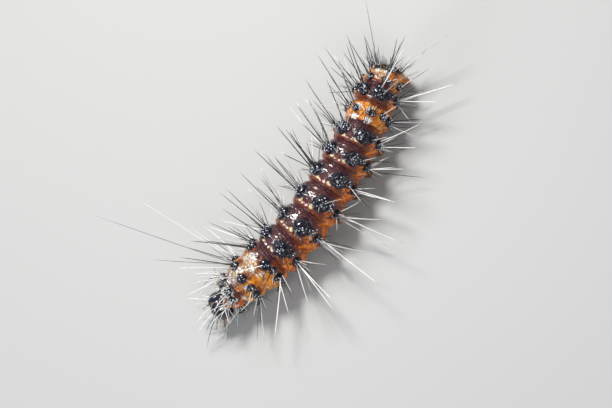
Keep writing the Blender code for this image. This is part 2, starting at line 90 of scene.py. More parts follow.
class Mask(Enum):
    """The markings of the skin, each an attribute from 0 to 1 over its surface."""

    PLUM = "plum"
    INK = "ink"
    RUST = "rust"
    CREAM = "cream"
    WHITE = "white"
    BLOT = "blot"
    GLOW = "glow"
    NET = "net"
    PEACH = "peach"
    OLIVE = "olive"
    BELLY = "belly"


class Tone(Enum):
    """Colours of the larva in linear light."""

    EMBER = (0.62, 0.075, 0.002)
    FIRE = (1.0, 0.27, 0.005)
    FLAME = (1.0, 0.38, 0.025)
    BRICK = (0.19, 0.024, 0.005)
    RUST = (0.22, 0.046, 0.01)
    PLUM = (0.078, 0.018, 0.022)
    INK = (0.012, 0.009, 0.018)
    CREAM = (0.86, 0.68, 0.42)
    WHITE = (0.87, 0.85, 0.84)
    PEACH = (0.86, 0.52, 0.3)
    OLIVE = (0.1, 0.07, 0.03)
    BELLY = (0.3, 0.12, 0.03)
    JET = (0.008, 0.008, 0.016)
    SLATE = (0.013, 0.014, 0.032)
    UMBER = (0.07, 0.025, 0.012)
    # Silvery bristles: partly a real pale colour, partly painted glint of light on glossy bristles.
    SILVER = (0.9, 0.9, 0.88)
    # Colour of the pale sockets: a painted highlight.
    PEARL = (0.82, 0.88, 1.0)
    AMBER = (0.55, 0.25, 0.07)
    FLOOR = (0.47, 0.48, 0.48)


@dataclass(frozen=True)
class WartKind:
    """One pair of warts: its place on the ring, its size and its tuft of long, short and stub bristles."""

    row: Row
    angle: float
    along: float
    radius: float
    height: float
    long: int
    short: int
    stubs: int
    shortest: float
    longest: float
    fan: float


TRUNK_WARTS = (
    WartKind(Row.FRONT, 9, 0.5, 0.16, 0.08, 0, 1, 3, 0.7, 1.6, 40),
    WartKind(Row.BACK, 33, 0.52, 0.68, 0.42, 4, 5, 6, 1.4, 6.7, 28),
    WartKind(Row.UPPER, 57, 0.6, 0.42, 0.3, 1, 2, 4, 1.0, 4.0, 28),
    WartKind(Row.SIDE, 84, 0.55, 0.5, 0.38, 1, 5, 3, 1.3, 6.4, 40),
    WartKind(Row.LOW, 116, 0.5, 0.36, 0.26, 1, 2, 2, 1.0, 3.0, 38),
)
NECK_WARTS = (
    WartKind(Row.BACK, 24, 0.6, 0.42, 0.26, 2, 4, 3, 1.0, 3.8, 62),
    WartKind(Row.UPPER, 56, 0.52, 0.4, 0.3, 2, 4, 2, 1.0, 3.6, 62),
    WartKind(Row.SIDE, 62, 0.12, 0.5, 0.66, 2, 5, 2, 1.0, 3.8, 64),
    WartKind(Row.LOW, 122, 0.5, 0.34, 0.24, 1, 3, 2, 0.9, 2.6, 50),
)
RUMP_WARTS = (
    WartKind(Row.BACK, 24, 0.5, 0.38, 0.28, 1, 3, 3, 1.2, 4.4, 34),
    WartKind(Row.SIDE, 78, 0.5, 0.4, 0.32, 1, 3, 3, 1.2, 3.8, 36),
)
TAIL_WARTS = (
    WartKind(Row.BACK, 24, 0.5, 0.32, 0.16, 2, 5, 3, 1.0, 3.8, 44),
    WartKind(Row.SIDE, 66, 0.6, 0.34, 0.2, 1, 5, 3, 1.0, 3.6, 44),
)


@dataclass(frozen=True)
class Ring:
    """One ring of the trunk, with the lean of its tufts towards the head and the shift of its warts back."""

    name: str
    length: float
    radius: float
    lean: float
    side_lean: float
    pattern: Pattern = Pattern.SADDLE
    warts: tuple[WartKind, ...] = TRUNK_WARTS
    back_angle: float = 33
    back_share: float = 1.0
    shift: float = 0.0


RINGS = (
    Ring("prothorax", 1.5, 1.75, 56, 40, Pattern.COLLAR, NECK_WARTS, 24),
    Ring("mesothorax", 2.3, 2.26, 30, 34, Pattern.MIDDLE, back_angle=22, back_share=0.72, shift=0.1),
    Ring("metathorax", 2.6, 2.5, 26, 32, Pattern.HIND, back_share=0.85, shift=0.16),
    Ring("abdomen_1", 2.6, 2.52, 4, 7),
    Ring("abdomen_2", 2.9, 2.54, -6, -10),
    Ring("abdomen_3", 2.9, 2.52, -12, -14),
    Ring("abdomen_4", 2.65, 2.5, -15, -18),
    Ring("abdomen_5", 2.4, 2.46, -20, -28),
    Ring("abdomen_6", 2.4, 2.38, -20, -22, back_angle=28),
    Ring("abdomen_7", 2.4, 2.22, -20, -22, Pattern.NETTED, back_angle=24, back_share=0.55),
    Ring("abdomen_8", 1.95, 2.24, -20, -22, back_angle=22),
    Ring("abdomen_9", 1.15, 1.98, -34, -34, Pattern.RUMP, RUMP_WARTS, 24),
    Ring("abdomen_10", 1.7, 1.68, -54, -54, Pattern.TAIL, TAIL_WARTS, 24),
)


@dataclass(frozen=True)
class Aimed:
    """One bristle measured in the photograph: its wart, its reach in millimetres, its colour and girth.
    Silver is partly a pale bristle and partly painted glint of light on a glossy one.
    """

    ring: int
    row: Row
    side: int
    reach: Triple
    silver: bool
    fine: bool = False


AIMED = (
    Aimed(0, Row.BACK, -1, (4.0, -2.0, 0.2), True),
    Aimed(0, Row.BACK, -1, (2.5, -2.3, 0.8), True),
    Aimed(0, Row.LOW, 1, (3.1, -0.3, -0.5), True),
    Aimed(0, Row.SIDE, 1, (1.1, 1.5, -0.4), True),
    Aimed(1, Row.BACK, 1, (3.0, 0.0, 0.2), False),
    Aimed(1, Row.UPPER, 1, (2.2, -0.4, 0.1), False),
    Aimed(1, Row.SIDE, 1, (1.9, 0.9, -0.3), True),
    Aimed(1, Row.LOW, 1, (3.2, 3.0, -0.6), True),
    Aimed(1, Row.BACK, -1, (4.8, -10.9, 9.5), False, True),
    Aimed(1, Row.BACK, -1, (5.1, -6.2, 3.2), False, True),
    Aimed(1, Row.UPPER, -1, (1.3, -9.2, 6.0), True, True),
    Aimed(1, Row.SIDE, -1, (0.3, -5.7, 1.5), True),
    Aimed(2, Row.BACK, 1, (2.4, -1.8, 0.8), True),
    Aimed(2, Row.BACK, 1, (1.7, 1.8, 0.3), False),
    Aimed(2, Row.UPPER, 1, (1.6, 1.5, 0.2), False),
    Aimed(2, Row.SIDE, 1, (2.0, 3.3, -0.2), True),
    Aimed(2, Row.SIDE, 1, (2.1, 1.2, -0.4), False),
    Aimed(3, Row.SIDE, 1, (0.8, 6.3, 0.8), True),
    Aimed(3, Row.SIDE, 1, (1.5, 7.5, 0.4), True),
    Aimed(3, Row.LOW, 1, (1.3, 2.7, -0.3), True),
    Aimed(4, Row.SIDE, 1, (-1.8, 5.9, 1.2), True),
    Aimed(4, Row.SIDE, 1, (0.1, 9.3, 0.8), True),
    Aimed(4, Row.LOW, 1, (0.5, 3.5, 0.0), False),
    Aimed(5, Row.SIDE, 1, (-2.4, 5.4, 1.4), True),
    Aimed(5, Row.SIDE, 1, (-1.2, 8.7, 0.9), True),
    Aimed(6, Row.SIDE, 1, (-1.7, 5.3, 1.2), True),
    Aimed(6, Row.UPPER, 1, (0.5, 2.7, 0.6), True),
    Aimed(7, Row.SIDE, 1, (-2.3, 4.3, 1.4), True),
    Aimed(8, Row.SIDE, 1, (-2.1, 4.4, 1.2), True),
    Aimed(9, Row.SIDE, 1, (-2.1, 3.6, 1.2), False),
    Aimed(10, Row.SIDE, 1, (-2.2, 4.5, 1.2), True),
    Aimed(10, Row.BACK, -1, (-0.4, -3.0, 3.4), True),
    Aimed(11, Row.BACK, -1, (-1.5, -2.3, 3.0), False),
    Aimed(12, Row.SIDE, 1, (-4.0, 2.0, 1.6), True),
    Aimed(12, Row.SIDE, 1, (-5.9, 2.8, 1.6), True),
    Aimed(12, Row.BACK, 1, (-2.9, -0.3, 2.0), False),
    Aimed(12, Row.BACK, -1, (-4.1, -2.5, 5.0), False, True),
)


@dataclass(frozen=True)
class Patch:
    """A soft oval mark on both sides of a ring: its middle and half sizes, in ring lengths and degrees."""

    mask: Mask
    along: float
    angle: float
    half_along: float
    half_angle: float
    strength: float = 1.0


PATCHES: dict[Pattern, tuple[Patch, ...]] = {
    Pattern.COLLAR: (
        Patch(Mask.WHITE, 0.4, 0, 0.8, 48),
        Patch(Mask.WHITE, 0.7, 66, 0.13, 10, 0.85),
        Patch(Mask.WHITE, 0.5, 88, 0.12, 9, 0.75),
        Patch(Mask.BLOT, 0.45, 14, 0.8, 34, 0.5),
        Patch(Mask.INK, 0.12, 33, 0.16, 9, 0.8),
        Patch(Mask.PLUM, 0.72, 40, 0.34, 13, 0.75),
        Patch(Mask.RUST, 0.6, 62, 0.6, 22, 0.8),
        Patch(Mask.PEACH, 0.12, 62, 0.36, 17),
        Patch(Mask.NET, 0.6, 85, 0.6, 30),
    ),
    Pattern.MIDDLE: (
        Patch(Mask.RUST, 0.5, 4, 0.8, 34, 0.8),
        Patch(Mask.PEACH, 0.4, 6, 0.6, 34, 0.5),
        Patch(Mask.CREAM, 0.34, 0, 0.5, 26, 0.66),
        Patch(Mask.WHITE, 0.2, 12, 0.2, 9, 0.8),
        Patch(Mask.WHITE, 0.7, 3, 0.2, 6, 0.8),
        Patch(Mask.WHITE, 0.5, 46, 0.12, 6, 0.8),
        Patch(Mask.WHITE, 0.14, 74, 0.12, 9, 0.75),
        Patch(Mask.RUST, 0.18, 53, 0.2, 9),
        Patch(Mask.BLOT, 0.2, 50, 0.24, 14, 0.4),
        Patch(Mask.RUST, 0.88, 26, 0.12, 14),
        Patch(Mask.RUST, 0.85, 76, 0.13, 12),
        Patch(Mask.GLOW, 0.6, 60, 0.8, 80),
        Patch(Mask.NET, 0.5, 60, 0.6, 60, 0.5),
    ),
    Pattern.HIND: (
        Patch(Mask.RUST, 0.3, 4, 0.6, 34, 0.75),
        Patch(Mask.PEACH, 0.24, 8, 0.4, 28, 0.46),
        Patch(Mask.CREAM, 0.2, 6, 0.34, 22, 0.66),
        Patch(Mask.WHITE, 0.16, 16, 0.13, 9, 0.85),
        Patch(Mask.WHITE, 0.5, 4, 0.16, 9, 0.8),
        Patch(Mask.WHITE, 0.2, 42, 0.035, 8, 0.95),
        Patch(Mask.WHITE, 0.33, 43, 0.035, 8, 0.95),
        Patch(Mask.WHITE, 0.46, 46, 0.035, 7, 0.95),
        Patch(Mask.GLOW, 0.36, 60, 0.66, 80),
        Patch(Mask.INK, 0.62, 30, 0.2, 12, 0.8),
        Patch(Mask.RUST, 0.92, 72, 0.14, 22),
        Patch(Mask.PLUM, 1.0, 8, 0.26, 34),
        Patch(Mask.NET, 0.3, 60, 0.6, 60, 0.5),
    ),
    Pattern.SADDLE: (
        Patch(Mask.GLOW, 0.26, 84, 0.4, 34, 0.5),
        Patch(Mask.RUST, 0.08, 34, 0.3, 30),
        Patch(Mask.RUST, 0.72, 70, 0.22, 14),
        Patch(Mask.RUST, 0.1, 6, 0.2, 12, 0.9),
        Patch(Mask.PLUM, 0.68, 6, 0.44, 58),
        Patch(Mask.INK, 0.52, 32, 0.32, 22),
        # Painted highlight: small white spots where light glints on the wet middle of the back.
        Patch(Mask.WHITE, 0.2, 6, 0.05, 4, 0.6),
        # Cream crescent at each saddle's front: part a pale fold, part a painted highlight on its glossy
        # edge.
        Patch(Mask.CREAM, 0.26, 18, 0.09, 8, 0.7),
        Patch(Mask.NET, 0.5, 84, 0.7, 34),
    ),
    Pattern.NETTED: (
        Patch(Mask.WHITE, 0.18, 19, 0.15, 13, 0.72),
        Patch(Mask.WHITE, 0.66, 17, 0.13, 12, 0.72),
        Patch(Mask.GLOW, 0.5, 40, 0.6, 90),
        Patch(Mask.RUST, 0.96, 36, 0.14, 40, 0.8),
        Patch(Mask.RUST, 0.02, 20, 0.1, 60, 0.7),
        Patch(Mask.NET, 0.5, 45, 0.62, 70),
    ),
    Pattern.RUMP: (
        Patch(Mask.GLOW, 0.5, 60, 0.7, 50),
        Patch(Mask.PEACH, 0.66, 10, 0.36, 22, 0.5),
        Patch(Mask.CREAM, 0.66, 10, 0.34, 20, 0.56),
        Patch(Mask.WHITE, 0.84, 14, 0.16, 7, 0.75),
        Patch(Mask.RUST, 0.2, 32, 0.3, 26),
        Patch(Mask.NET, 0.5, 45, 0.7, 70),
    ),
    Pattern.TAIL: (
        Patch(Mask.RUST, 0.3, 12, 0.16, 46, 0.7),
        Patch(Mask.CREAM, 0.12, 8, 0.2, 36, 0.56),
        Patch(Mask.WHITE, 0.16, 16, 0.13, 9, 0.8),
        Patch(Mask.GLOW, 0.1, 90, 0.4, 50),
        Patch(Mask.OLIVE, 0.58, 0, 0.38, 58, 0.9),
        Patch(Mask.RUST, 0.94, 58, 0.3, 66, 0.7),
        Patch(Mask.NET, 0.2, 45, 0.5, 60),
        Patch(Mask.NET, 0.84, 60, 0.36, 80),
    ),
}


def mix(low: float, high: float, share: float) -> float:
    """The value at a share of the way from low to high."""
    return low + (high - low) * share


def smooth(low: float, high: float, value: Array | float) -> Array | float:
    """An eased step from 0 at low to 1 at high."""
    share = np.clip((value - low) / (high - low), 0.0, 1.0)
    return share * share * (3 - 2 * share)


def hump(offset: Array | float, width: float) -> Array | float:
    """A bell of height 1 at offset 0 that falls off over the width."""
    return np.exp(-((offset / width) ** 2))


def normed(way: Array) -> Array:
    """A way's direction, with a length of 1."""
    return way / np.linalg.norm(way)


@dataclass(frozen=True)
class Wart:
    """One wart, placed on the body."""

    ring: int
    kind: WartKind
    side: int
    station: float
    centre: Array
    normal: Array
    forward: Array
    around: Array
    radius: float
    height: float
    share: float


@dataclass
class BodyPlan:
    """The larva's axis, rings, warts and legs, where the solids have them.

    The neck's place and heading and the two bends set the axis; the belly's height and the axis's share of
    the radius above it set its level.
    """

    origin: Pair = (-2.731, 2.876)
    neck: Pair = (12.14, 0.64)
    neck_heading: float = -27.3
    front_bend: float = 2.4
    rear_bend: float = 1.3
    bend_change: float = 12.1
    twist: float = 12.0
    twist_from: float = 8.7
    twist_to: float = 19.7
    step: float = 0.05
    belly_height: float = 1.35
    axis_share: float = 0.8
    hip_drop: float = 0.3
    lobe_tilt: float = 0.9
    right_lobe_drop: float = 16.0
    belly_leg_rings: tuple[int, ...] = (5, 6, 7, 8)
    belly_leg_spread: float = 0.98
    last_leg_spread: float = 0.72
    starts: Array = field(init=False)
    track: Array = field(init=False)

    def __post_init__(self) -> None:
        """Works out the rings' stations and the axis seen from above."""
        self.starts = np.concatenate([[0.0], np.cumsum([ring.length for ring in RINGS])])
        count = round(self.length / self.step) + 2
        turns = self.heading((np.arange(count) + 0.5) * self.step)
        steps = -self.step * np.stack([np.cos(turns), np.sin(turns)], 1)
        first = np.subtract(self.neck, self.origin)
        self.track = first + np.concatenate([[[0.0, 0.0]], np.cumsum(steps, 0)])

    @property
    def length(self) -> float:
        """The body's length from the neck to its end."""
        return float(self.starts[-1])

    def heading(self, stations: Array | float) -> Array:
        """Direction of the axis seen from above, in radians from +X."""
        stations = np.maximum(stations, 0.0)
        front = np.minimum(stations, self.bend_change)
        rear = np.maximum(stations - self.bend_change, 0.0)
        return np.radians(self.neck_heading + self.front_bend * front + self.rear_bend * rear)

    def station(self, index: int, along: float) -> float:
        """The station at a share of the way along a ring."""
        return float(self.starts[index]) + along * RINGS[index].length

    def middles(self) -> Array:
        """The station of each ring's middle."""
        return (self.starts[:-1] + self.starts[1:]) / 2

    def radius(self, stations: Array | float) -> Array:
        """The body's radius, eased from each ring's middle to the next."""
        middles = self.middles()
        radii = np.array([ring.radius for ring in RINGS])
        place = np.interp(stations, middles, np.arange(len(middles)))
        index = np.minimum(place.astype(int), len(middles) - 2)
        share = place - index
        share = share * share * (3 - 2 * share)
        return radii[index] + (radii[index + 1] - radii[index]) * share

    def frames(self, stations: Array) -> tuple[Array, Array, Array]:
        """The body's axis at some stations.

        Args:
            stations: distances behind the neck; ahead of it the axis runs straight on.

        Returns:
            The axis's points, and its forward and left directions, a row for each station.
        """
        turns = self.heading(stations)
        zero = np.zeros_like(turns)
        forward = np.stack([np.cos(turns), np.sin(turns), zero], 1)
        left = np.stack([-np.sin(turns), np.cos(turns), zero], 1)
        place = np.maximum(stations, 0.0) / self.step
        marks = np.arange(len(self.track))
        flat = [np.interp(place, marks, self.track[:, axis]) for axis in (0, 1)]
        level = self.belly_height + self.axis_share * self.radius(stations)
        centre = np.stack([*flat, level], 1)
        return centre + forward * np.maximum(-stations, 0.0)[:, None], forward, left

    def turned(self, stations: Array | float) -> Array:
        """How far the back's middle is turned to the left at some stations, in radians."""
        return math.radians(self.twist) * smooth(self.twist_from, self.twist_to, stations)

    def at(self, station: float, angle: float = 0.0) -> tuple[Array, ...]:
        """One place on the body.

        Args:
            station: distance behind the neck.
            angle: degrees from the middle of the back towards the left.

        Returns:
            The axis point, the forward direction, the left direction and the outward one.
        """
        centre, forward, left = (rows[0] for rows in self.frames(np.array([station])))
        turn = math.radians(angle) + float(self.turned(station))
        outward = left * math.sin(turn) + np.array((0.0, 0.0, math.cos(turn)))
        return centre, forward, left, outward

    def warts(self) -> list[Wart]:
        """Every wart of every ring, on both sides."""
        return [
            self.wart(index, kind, side)
            for index, ring in enumerate(RINGS)
            for kind in ring.warts
            for side, _ in SIDES
        ]

    def wart(self, index: int, kind: WartKind, side: int) -> Wart:
        """One wart of a ring on one side.

        Args:
            index: the ring's number.
            kind: the wart's kind.
            side: 1 for the left or -1 for the right.

        Returns:
            The wart, placed on the body.
        """
        ring = RINGS[index]
        on_back = kind.row is Row.BACK
        share = ring.back_share if on_back else 1.0
        station = self.station(index, kind.along + ring.shift)
        angle = side * (ring.back_angle if on_back else kind.angle)
        if side < 0 and self.is_lobe(index, kind):
            angle -= self.right_lobe_drop
        centre, forward, _, normal = self.at(station, angle)
        foot = centre + normal * float(self.radius(station))
        foot[2] = max(foot[2], self.belly_height)
        if self.is_lobe(index, kind):
            tilt = self.lobe_tilt
            normal, forward = normed(normal + forward * tilt), normed(forward - normal * tilt)
        around = np.cross(forward, normal) * side
        radius, height = kind.radius * share, kind.height * share
        return Wart(index, kind, side, station, foot, normal, forward, around, radius, height, share)

    def is_lobe(self, index: int, kind: WartKind) -> bool:
        """Whether a wart is one of the neck's fleshy lobes, which the skin forms."""
        return index == 0 and kind.row is Row.SIDE

    def hip(self, station: float, spread: float, side: int) -> tuple[Array, Array, Array]:
        """Where a leg meets the belly.

        Args:
            station: its distance behind the neck.
            spread: its distance from the axis.
            side: 1 for the left or -1 for the right.

        Returns:
            The middle of the leg's top, the direction out to its side and the direction forward.
        """
        centre, forward, left, _ = self.at(station)
        top = centre + left * side * spread
        top[2] = self.belly_height - self.hip_drop
        return top, left * side, forward

    def belly_legs(self) -> Iterable[tuple[str, Array, Array, Array]]:
        """Every belly leg as its name, top, outward and forward directions."""
        middles = self.middles()
        for side, word in SIDES:
            for index in self.belly_leg_rings:
                number = RINGS[index].name.split("_")[1]
                yield f"proleg_{number}_{word}", *self.hip(middles[index], self.belly_leg_spread, side)
            yield f"anal_proleg_{word}", *self.hip(middles[-1], self.last_leg_spread, side)


class NodeSheet:
    """A node tree being filled, with short calls for the nodes that the finishes use."""

    def __init__(self, tree: bpy.types.NodeTree) -> None:
        """Keeps the tree that the calls fill."""
        self.tree = tree

    def add(self, kind: str, inputs: dict | None = None, **settings: object) -> bpy.types.Node:
        """Adds one node.

        Args:
            kind: the node's type without its ShaderNode prefix, or a full type name.
            inputs: values or sockets by input name or index.
            settings: the node's own properties.

        Returns:
            The new node.
        """
        name = kind if kind.startswith(("Node", "ShaderNode")) else "ShaderNode" + kind
        node = self.tree.nodes.new(name)
        for key, value in settings.items():
            setattr(node, key, value)
        self.fill(node, inputs or {})
        return node

    def fill(self, node: bpy.types.Node, inputs: dict) -> None:
        """Feeds several inputs of a node, by name or index."""
        for key, value in inputs.items():
            self.feed(node.inputs[key], value)

    def feed(self, socket: Socket, value: object) -> None:
        """Links a socket to an input, or sets the input's own value."""
        if isinstance(value, Socket):
            self.tree.links.new(value, socket)
        elif isinstance(value, tuple) and len(value) == 3 and socket.type == "RGBA":
            socket.default_value = (*value, 1.0)
        else:
            socket.default_value = value

    def math(self, operation: str, *values: object) -> Socket:
        """The result of one math operation."""
        node = self.add("Math", dict(enumerate(values)), operation=operation)
        return node.outputs[0]

    def blend(self, share: object, low: object, high: object) -> Socket:
        """A colour between two, by a share from 0 to 1."""
        node = self.add("Mix", {0: share, 6: low, 7: high}, data_type="RGBA")
        return node.outputs[2]

    def multiply(self, colour: object, factor: object) -> Socket:
        """A colour, made darker or lighter by a factor."""
        node = self.add("Mix", {0: 1.0, 6: colour, 7: factor}, data_type="RGBA", blend_type="MULTIPLY")
        return node.outputs[2]

    def ease(self, value: object, low: object, high: object, first: float = 0.0, last: float = 1.0) -> Socket:
        """An eased map from low..high to first..last."""
        inputs = {"Value": value, "From Min": low, "From Max": high, "To Min": first, "To Max": last}
        return self.add("MapRange", inputs, interpolation_type="SMOOTHSTEP").outputs[0]

    def bump(self, height: object, depth: float) -> Socket:
        """The normal over a height, with its depth in millimetres."""
        return self.add("Bump", {"Height": height, "Distance": depth * MM}).outputs[0]

    def attribute(self, name: str, output: str = "Fac") -> Socket:
        """An attribute of the mesh."""
        return self.add("Attribute", attribute_name=name).outputs[output]

    def place(self, scale: float = 1 / MM) -> Socket:
        """Object coordinates, scaled to millimetres."""
        coordinate = self.add("TexCoord").outputs["Object"]
        return self.add("Mapping", {"Vector": coordinate, "Scale": (scale,) * 3}).outputs[0]

    def grain(self, vector: object, scale: float, detail: float = 3.0, rough: float = 0.55) -> Socket:
        """Fractal noise over a vector."""
        inputs = {"Vector": vector, "Scale": scale, "Detail": detail, "Roughness": rough}
        return self.add("TexNoise", inputs).outputs[0]

    def group(self, made: bpy.types.NodeTree, **inputs: object) -> bpy.types.Node:
        """Places a node group with its inputs."""
        node = self.tree.nodes.new("ShaderNodeGroup")
        node.node_tree = made
        self.fill(node, inputs)
        return node


def new_group(
    name: str, inputs: Sequence[tuple[str, str, object]], output: str
) -> tuple[NodeSheet, bpy.types.NodeOutputs, Socket]:
    """Starts a shader node group that gives one value.

    Args:
        name: the group's name.
        inputs: each input's name, kind of socket and default, or None.
        output: the value's name.

    Returns:
        The group's sheet, the sockets of its inputs, and the socket that takes its value.
    """
    tree = bpy.data.node_groups.new(name, "ShaderNodeTree")
    for label, kind, value in inputs:
        socket = tree.interface.new_socket(label, in_out="INPUT", socket_type="NodeSocket" + kind)
        if value is not None:
            socket.default_value = value
    tree.interface.new_socket(output, in_out="OUTPUT", socket_type="NodeSocketFloat")
    sheet = NodeSheet(tree)
    return sheet, sheet.add("NodeGroupInput").outputs, sheet.add("NodeGroupOutput").inputs[output]


class Effects:
    """The node groups that several finishes share, each built once."""

    def __init__(self) -> None:
        """Builds every group."""
        self.ragged = self.build_ragged()
        self.net = self.build_net()
        self.shagreen = self.build_shagreen()

    def build_ragged(self) -> bpy.types.NodeTree:
        """A mask whose soft edge is made crisp and uneven by noise."""
        inputs = (
            ("Mask", "Float", 0.0),
            ("Vector", "Vector", None),
            ("Scale", "Float", 3.0),
            ("Amount", "Float", 0.4),
            ("Softness", "Float", 0.12),
        )
        sheet, given, result = new_group("ragged_edge", inputs, "Mask")
        waves = sheet.grain(given["Vector"], given["Scale"], 4.0, 0.6)
        swing = sheet.math("MULTIPLY", sheet.math("SUBTRACT", waves, 0.5), given["Amount"])
        total = sheet.math("ADD", given["Mask"], swing)
        low = sheet.math("SUBTRACT", 0.5, given["Softness"])
        high = sheet.math("ADD", 0.5, given["Softness"])
        sheet.feed(result, sheet.ease(total, low, high))
        return sheet.tree

    def build_net(self) -> bpy.types.NodeTree:
        """A net of uneven lines round rounded cells."""
        inputs = (("Vector", "Vector", None), ("Scale", "Float", 2.0), ("Width", "Float", 0.1))
        sheet, given, result = new_group("net", inputs, "Line")
        bend = sheet.add("TexNoise", {"Vector": given["Vector"], "Scale": 1.6, "Detail": 2.0})
        parts = {0: bend.outputs["Color"], 1: (0.45, 0.45, 0.45), 2: given["Vector"]}
        moved = sheet.add("VectorMath", parts, operation="MULTIPLY_ADD").outputs[0]
        spread = {"Vector": moved, "Scale": given["Scale"]}
        cells = sheet.add("TexVoronoi", spread, feature="DISTANCE_TO_EDGE")
        sheet.feed(result, sheet.ease(cells.outputs["Distance"], 0.0, given["Width"], 1.0, 0.0))
        return sheet.tree

    def build_shagreen(self) -> bpy.types.NodeTree:
        """The height of a fine pebbled cuticle with wrinkles along a given lie."""
        inputs = (
            ("Vector", "Vector", None),
            ("Lie", "Vector", None),
            ("Pebbles", "Float", 9.0),
            ("Wrinkles", "Float", 0.5),
        )
        sheet, given, result = new_group("shagreen", inputs, "Height")
        spread = {"Vector": given["Vector"], "Scale": given["Pebbles"]}
        cells = sheet.add("TexVoronoi", spread, feature="SMOOTH_F1")
        domes = sheet.math("SUBTRACT", 1.0, cells.outputs["Distance"])
        stretched = sheet.add("Mapping", {"Vector": given["Lie"], "Scale": (4.2, 0.7, 1.0)})
        folds = sheet.grain(stretched.outputs[0], 1.0, 4.0, 0.6)
        sheet.feed(result, sheet.math("MULTIPLY_ADD", folds, given["Wrinkles"], domes))
        return sheet.tree


def new_material(name: str) -> tuple[Material, NodeSheet, bpy.types.Node]:
    """Starts a material.

    Args:
        name: the material's name.

    Returns:
        The material, its sheet and its Principled shader.
    """
    made = bpy.data.materials.new(name)
    made.use_nodes = True
    return made, NodeSheet(made.node_tree), made.node_tree.nodes["Principled BSDF"]


@dataclass(frozen=True)
class Layer:
    """How a marking of the skin is painted: its colour, and its edge's noise, unevenness and softness."""

    mask: Mask
    tone: Tone
    scale: float
    amount: float
    softness: float


LAYERS = (
    Layer(Mask.BELLY, Tone.BELLY, 1.2, 0.3, 0.3),
    Layer(Mask.RUST, Tone.RUST, 2.6, 0.55, 0.22),
    Layer(Mask.OLIVE, Tone.OLIVE, 3.0, 0.7, 0.16),
    Layer(Mask.PLUM, Tone.PLUM, 2.2, 0.6, 0.2),
    Layer(Mask.PEACH, Tone.PEACH, 2.5, 0.3, 0.3),
    Layer(Mask.CREAM, Tone.CREAM, 4.6, 1.4, 0.12),
    Layer(Mask.WHITE, Tone.WHITE, 4.8, 1.9, 0.1),
    Layer(Mask.BLOT, Tone.INK, 1.7, 2.8, 0.12),
    Layer(Mask.INK, Tone.INK, 3.0, 0.6, 0.18),
)


@dataclass(frozen=True)
class SkinFinish:
    """The wet, marked cuticle of the trunk and the belly legs.

    Each net is given by its scale, its lines' width and their strength. Each step takes the material's node
    sheet, the place in millimetres and the colour so far, and gives the next colour.
    """

    effects: Effects
    roughness: Pair = (0.22, 0.42)
    coat: float = 0.5
    coat_roughness: float = 0.05
    bump: float = 0.09
    nets: tuple[Triple, ...] = ((1.4, 0.17, 1.0), (3.2, 0.1, 0.7))

    def material(self) -> Material:
        """Builds the skin's material from the marking attributes."""
        made, sheet, shader = new_material("skin")
        place = sheet.place()
        lie = sheet.attribute("lie", "Vector")
        colour = self.netted(sheet, place, self.ground(sheet, place))
        colour = self.veined(sheet, place, self.marked(sheet, place, colour))
        height = sheet.group(self.effects.shagreen, Vector=place, Lie=lie, Pebbles=8.0, Wrinkles=1.3)
        sheet.fill(
            shader,
            {
                "Base Color": self.shaded(sheet, place, colour),
                "Roughness": sheet.ease(sheet.grain(place, 5.0), 0.3, 0.7, *self.roughness),
                "Normal": sheet.bump(height.outputs[0], self.bump),
                "Coat Weight": self.coat,
                "Coat Roughness": self.coat_roughness,
                "Specular IOR Level": 0.35,
                "Subsurface Weight": 0.2,
                "Subsurface Radius": (1.0, 0.35, 0.1),
                "Subsurface Scale": 0.5 * MM,
            },
        )
        return made

    def ground(self, sheet: NodeSheet, place: Socket) -> Socket:
        """The orange ground, mottled from ember to fire, and golden where it glows."""
        mottle = sheet.grain(place, 2.4, 5.0, 0.65)
        fiery = sheet.blend(sheet.ease(mottle, 0.36, 0.62), Tone.EMBER.value, Tone.FIRE.value)
        share = sheet.math("MULTIPLY_ADD", sheet.attribute(Mask.GLOW.value), 0.34, mottle)
        return sheet.blend(sheet.ease(share, 0.58, 0.9), fiery, Tone.FLAME.value)

    def netted(self, sheet: NodeSheet, place: Socket, colour: Socket) -> Socket:
        """The colour under two broken nets, a wide one and a fine one."""
        broken = sheet.ease(sheet.grain(place, 1.3), 0.42, 0.6)
        meshed = sheet.math("MULTIPLY", broken, sheet.attribute(Mask.NET.value))
        for scale, width, share in self.nets:
            net = sheet.group(self.effects.net, Vector=place, Scale=scale, Width=width)
            line = sheet.math("MULTIPLY", net.outputs["Line"], meshed)
            colour = sheet.blend(sheet.math("MULTIPLY", line, share), colour, Tone.BRICK.value)
        return colour

    def marked(self, sheet: NodeSheet, place: Socket, colour: Socket) -> Socket:
        """The colour under the markings, one layer over another."""
        for layer in LAYERS:
            share = sheet.group(
                self.effects.ragged,
                Mask=sheet.attribute(layer.mask.value),
                Vector=place,
                Scale=layer.scale,
                Amount=layer.amount,
                Softness=layer.softness,
            )
            colour = sheet.blend(share.outputs[0], colour, layer.tone.value)
        return colour

    def veined(self, sheet: NodeSheet, place: Socket, colour: Socket) -> Socket:
        """The colour with rusty veins over its peach parts."""
        veins = sheet.group(self.effects.net, Vector=place, Scale=2.4, Width=0.2)
        share = sheet.math("MULTIPLY", veins.outputs["Line"], sheet.attribute(Mask.PEACH.value))
        share = sheet.math("MINIMUM", sheet.math("MULTIPLY", share, 1.7), 0.85)
        return sheet.blend(share, colour, Tone.RUST.value)

    def shaded(self, sheet: NodeSheet, place: Socket, colour: Socket) -> Socket:
        """The colour with small darker and lighter mottles."""
        return sheet.multiply(colour, sheet.ease(sheet.grain(place, 7.0, 4.0, 0.6), 0.3, 0.75, 0.72, 1.22))


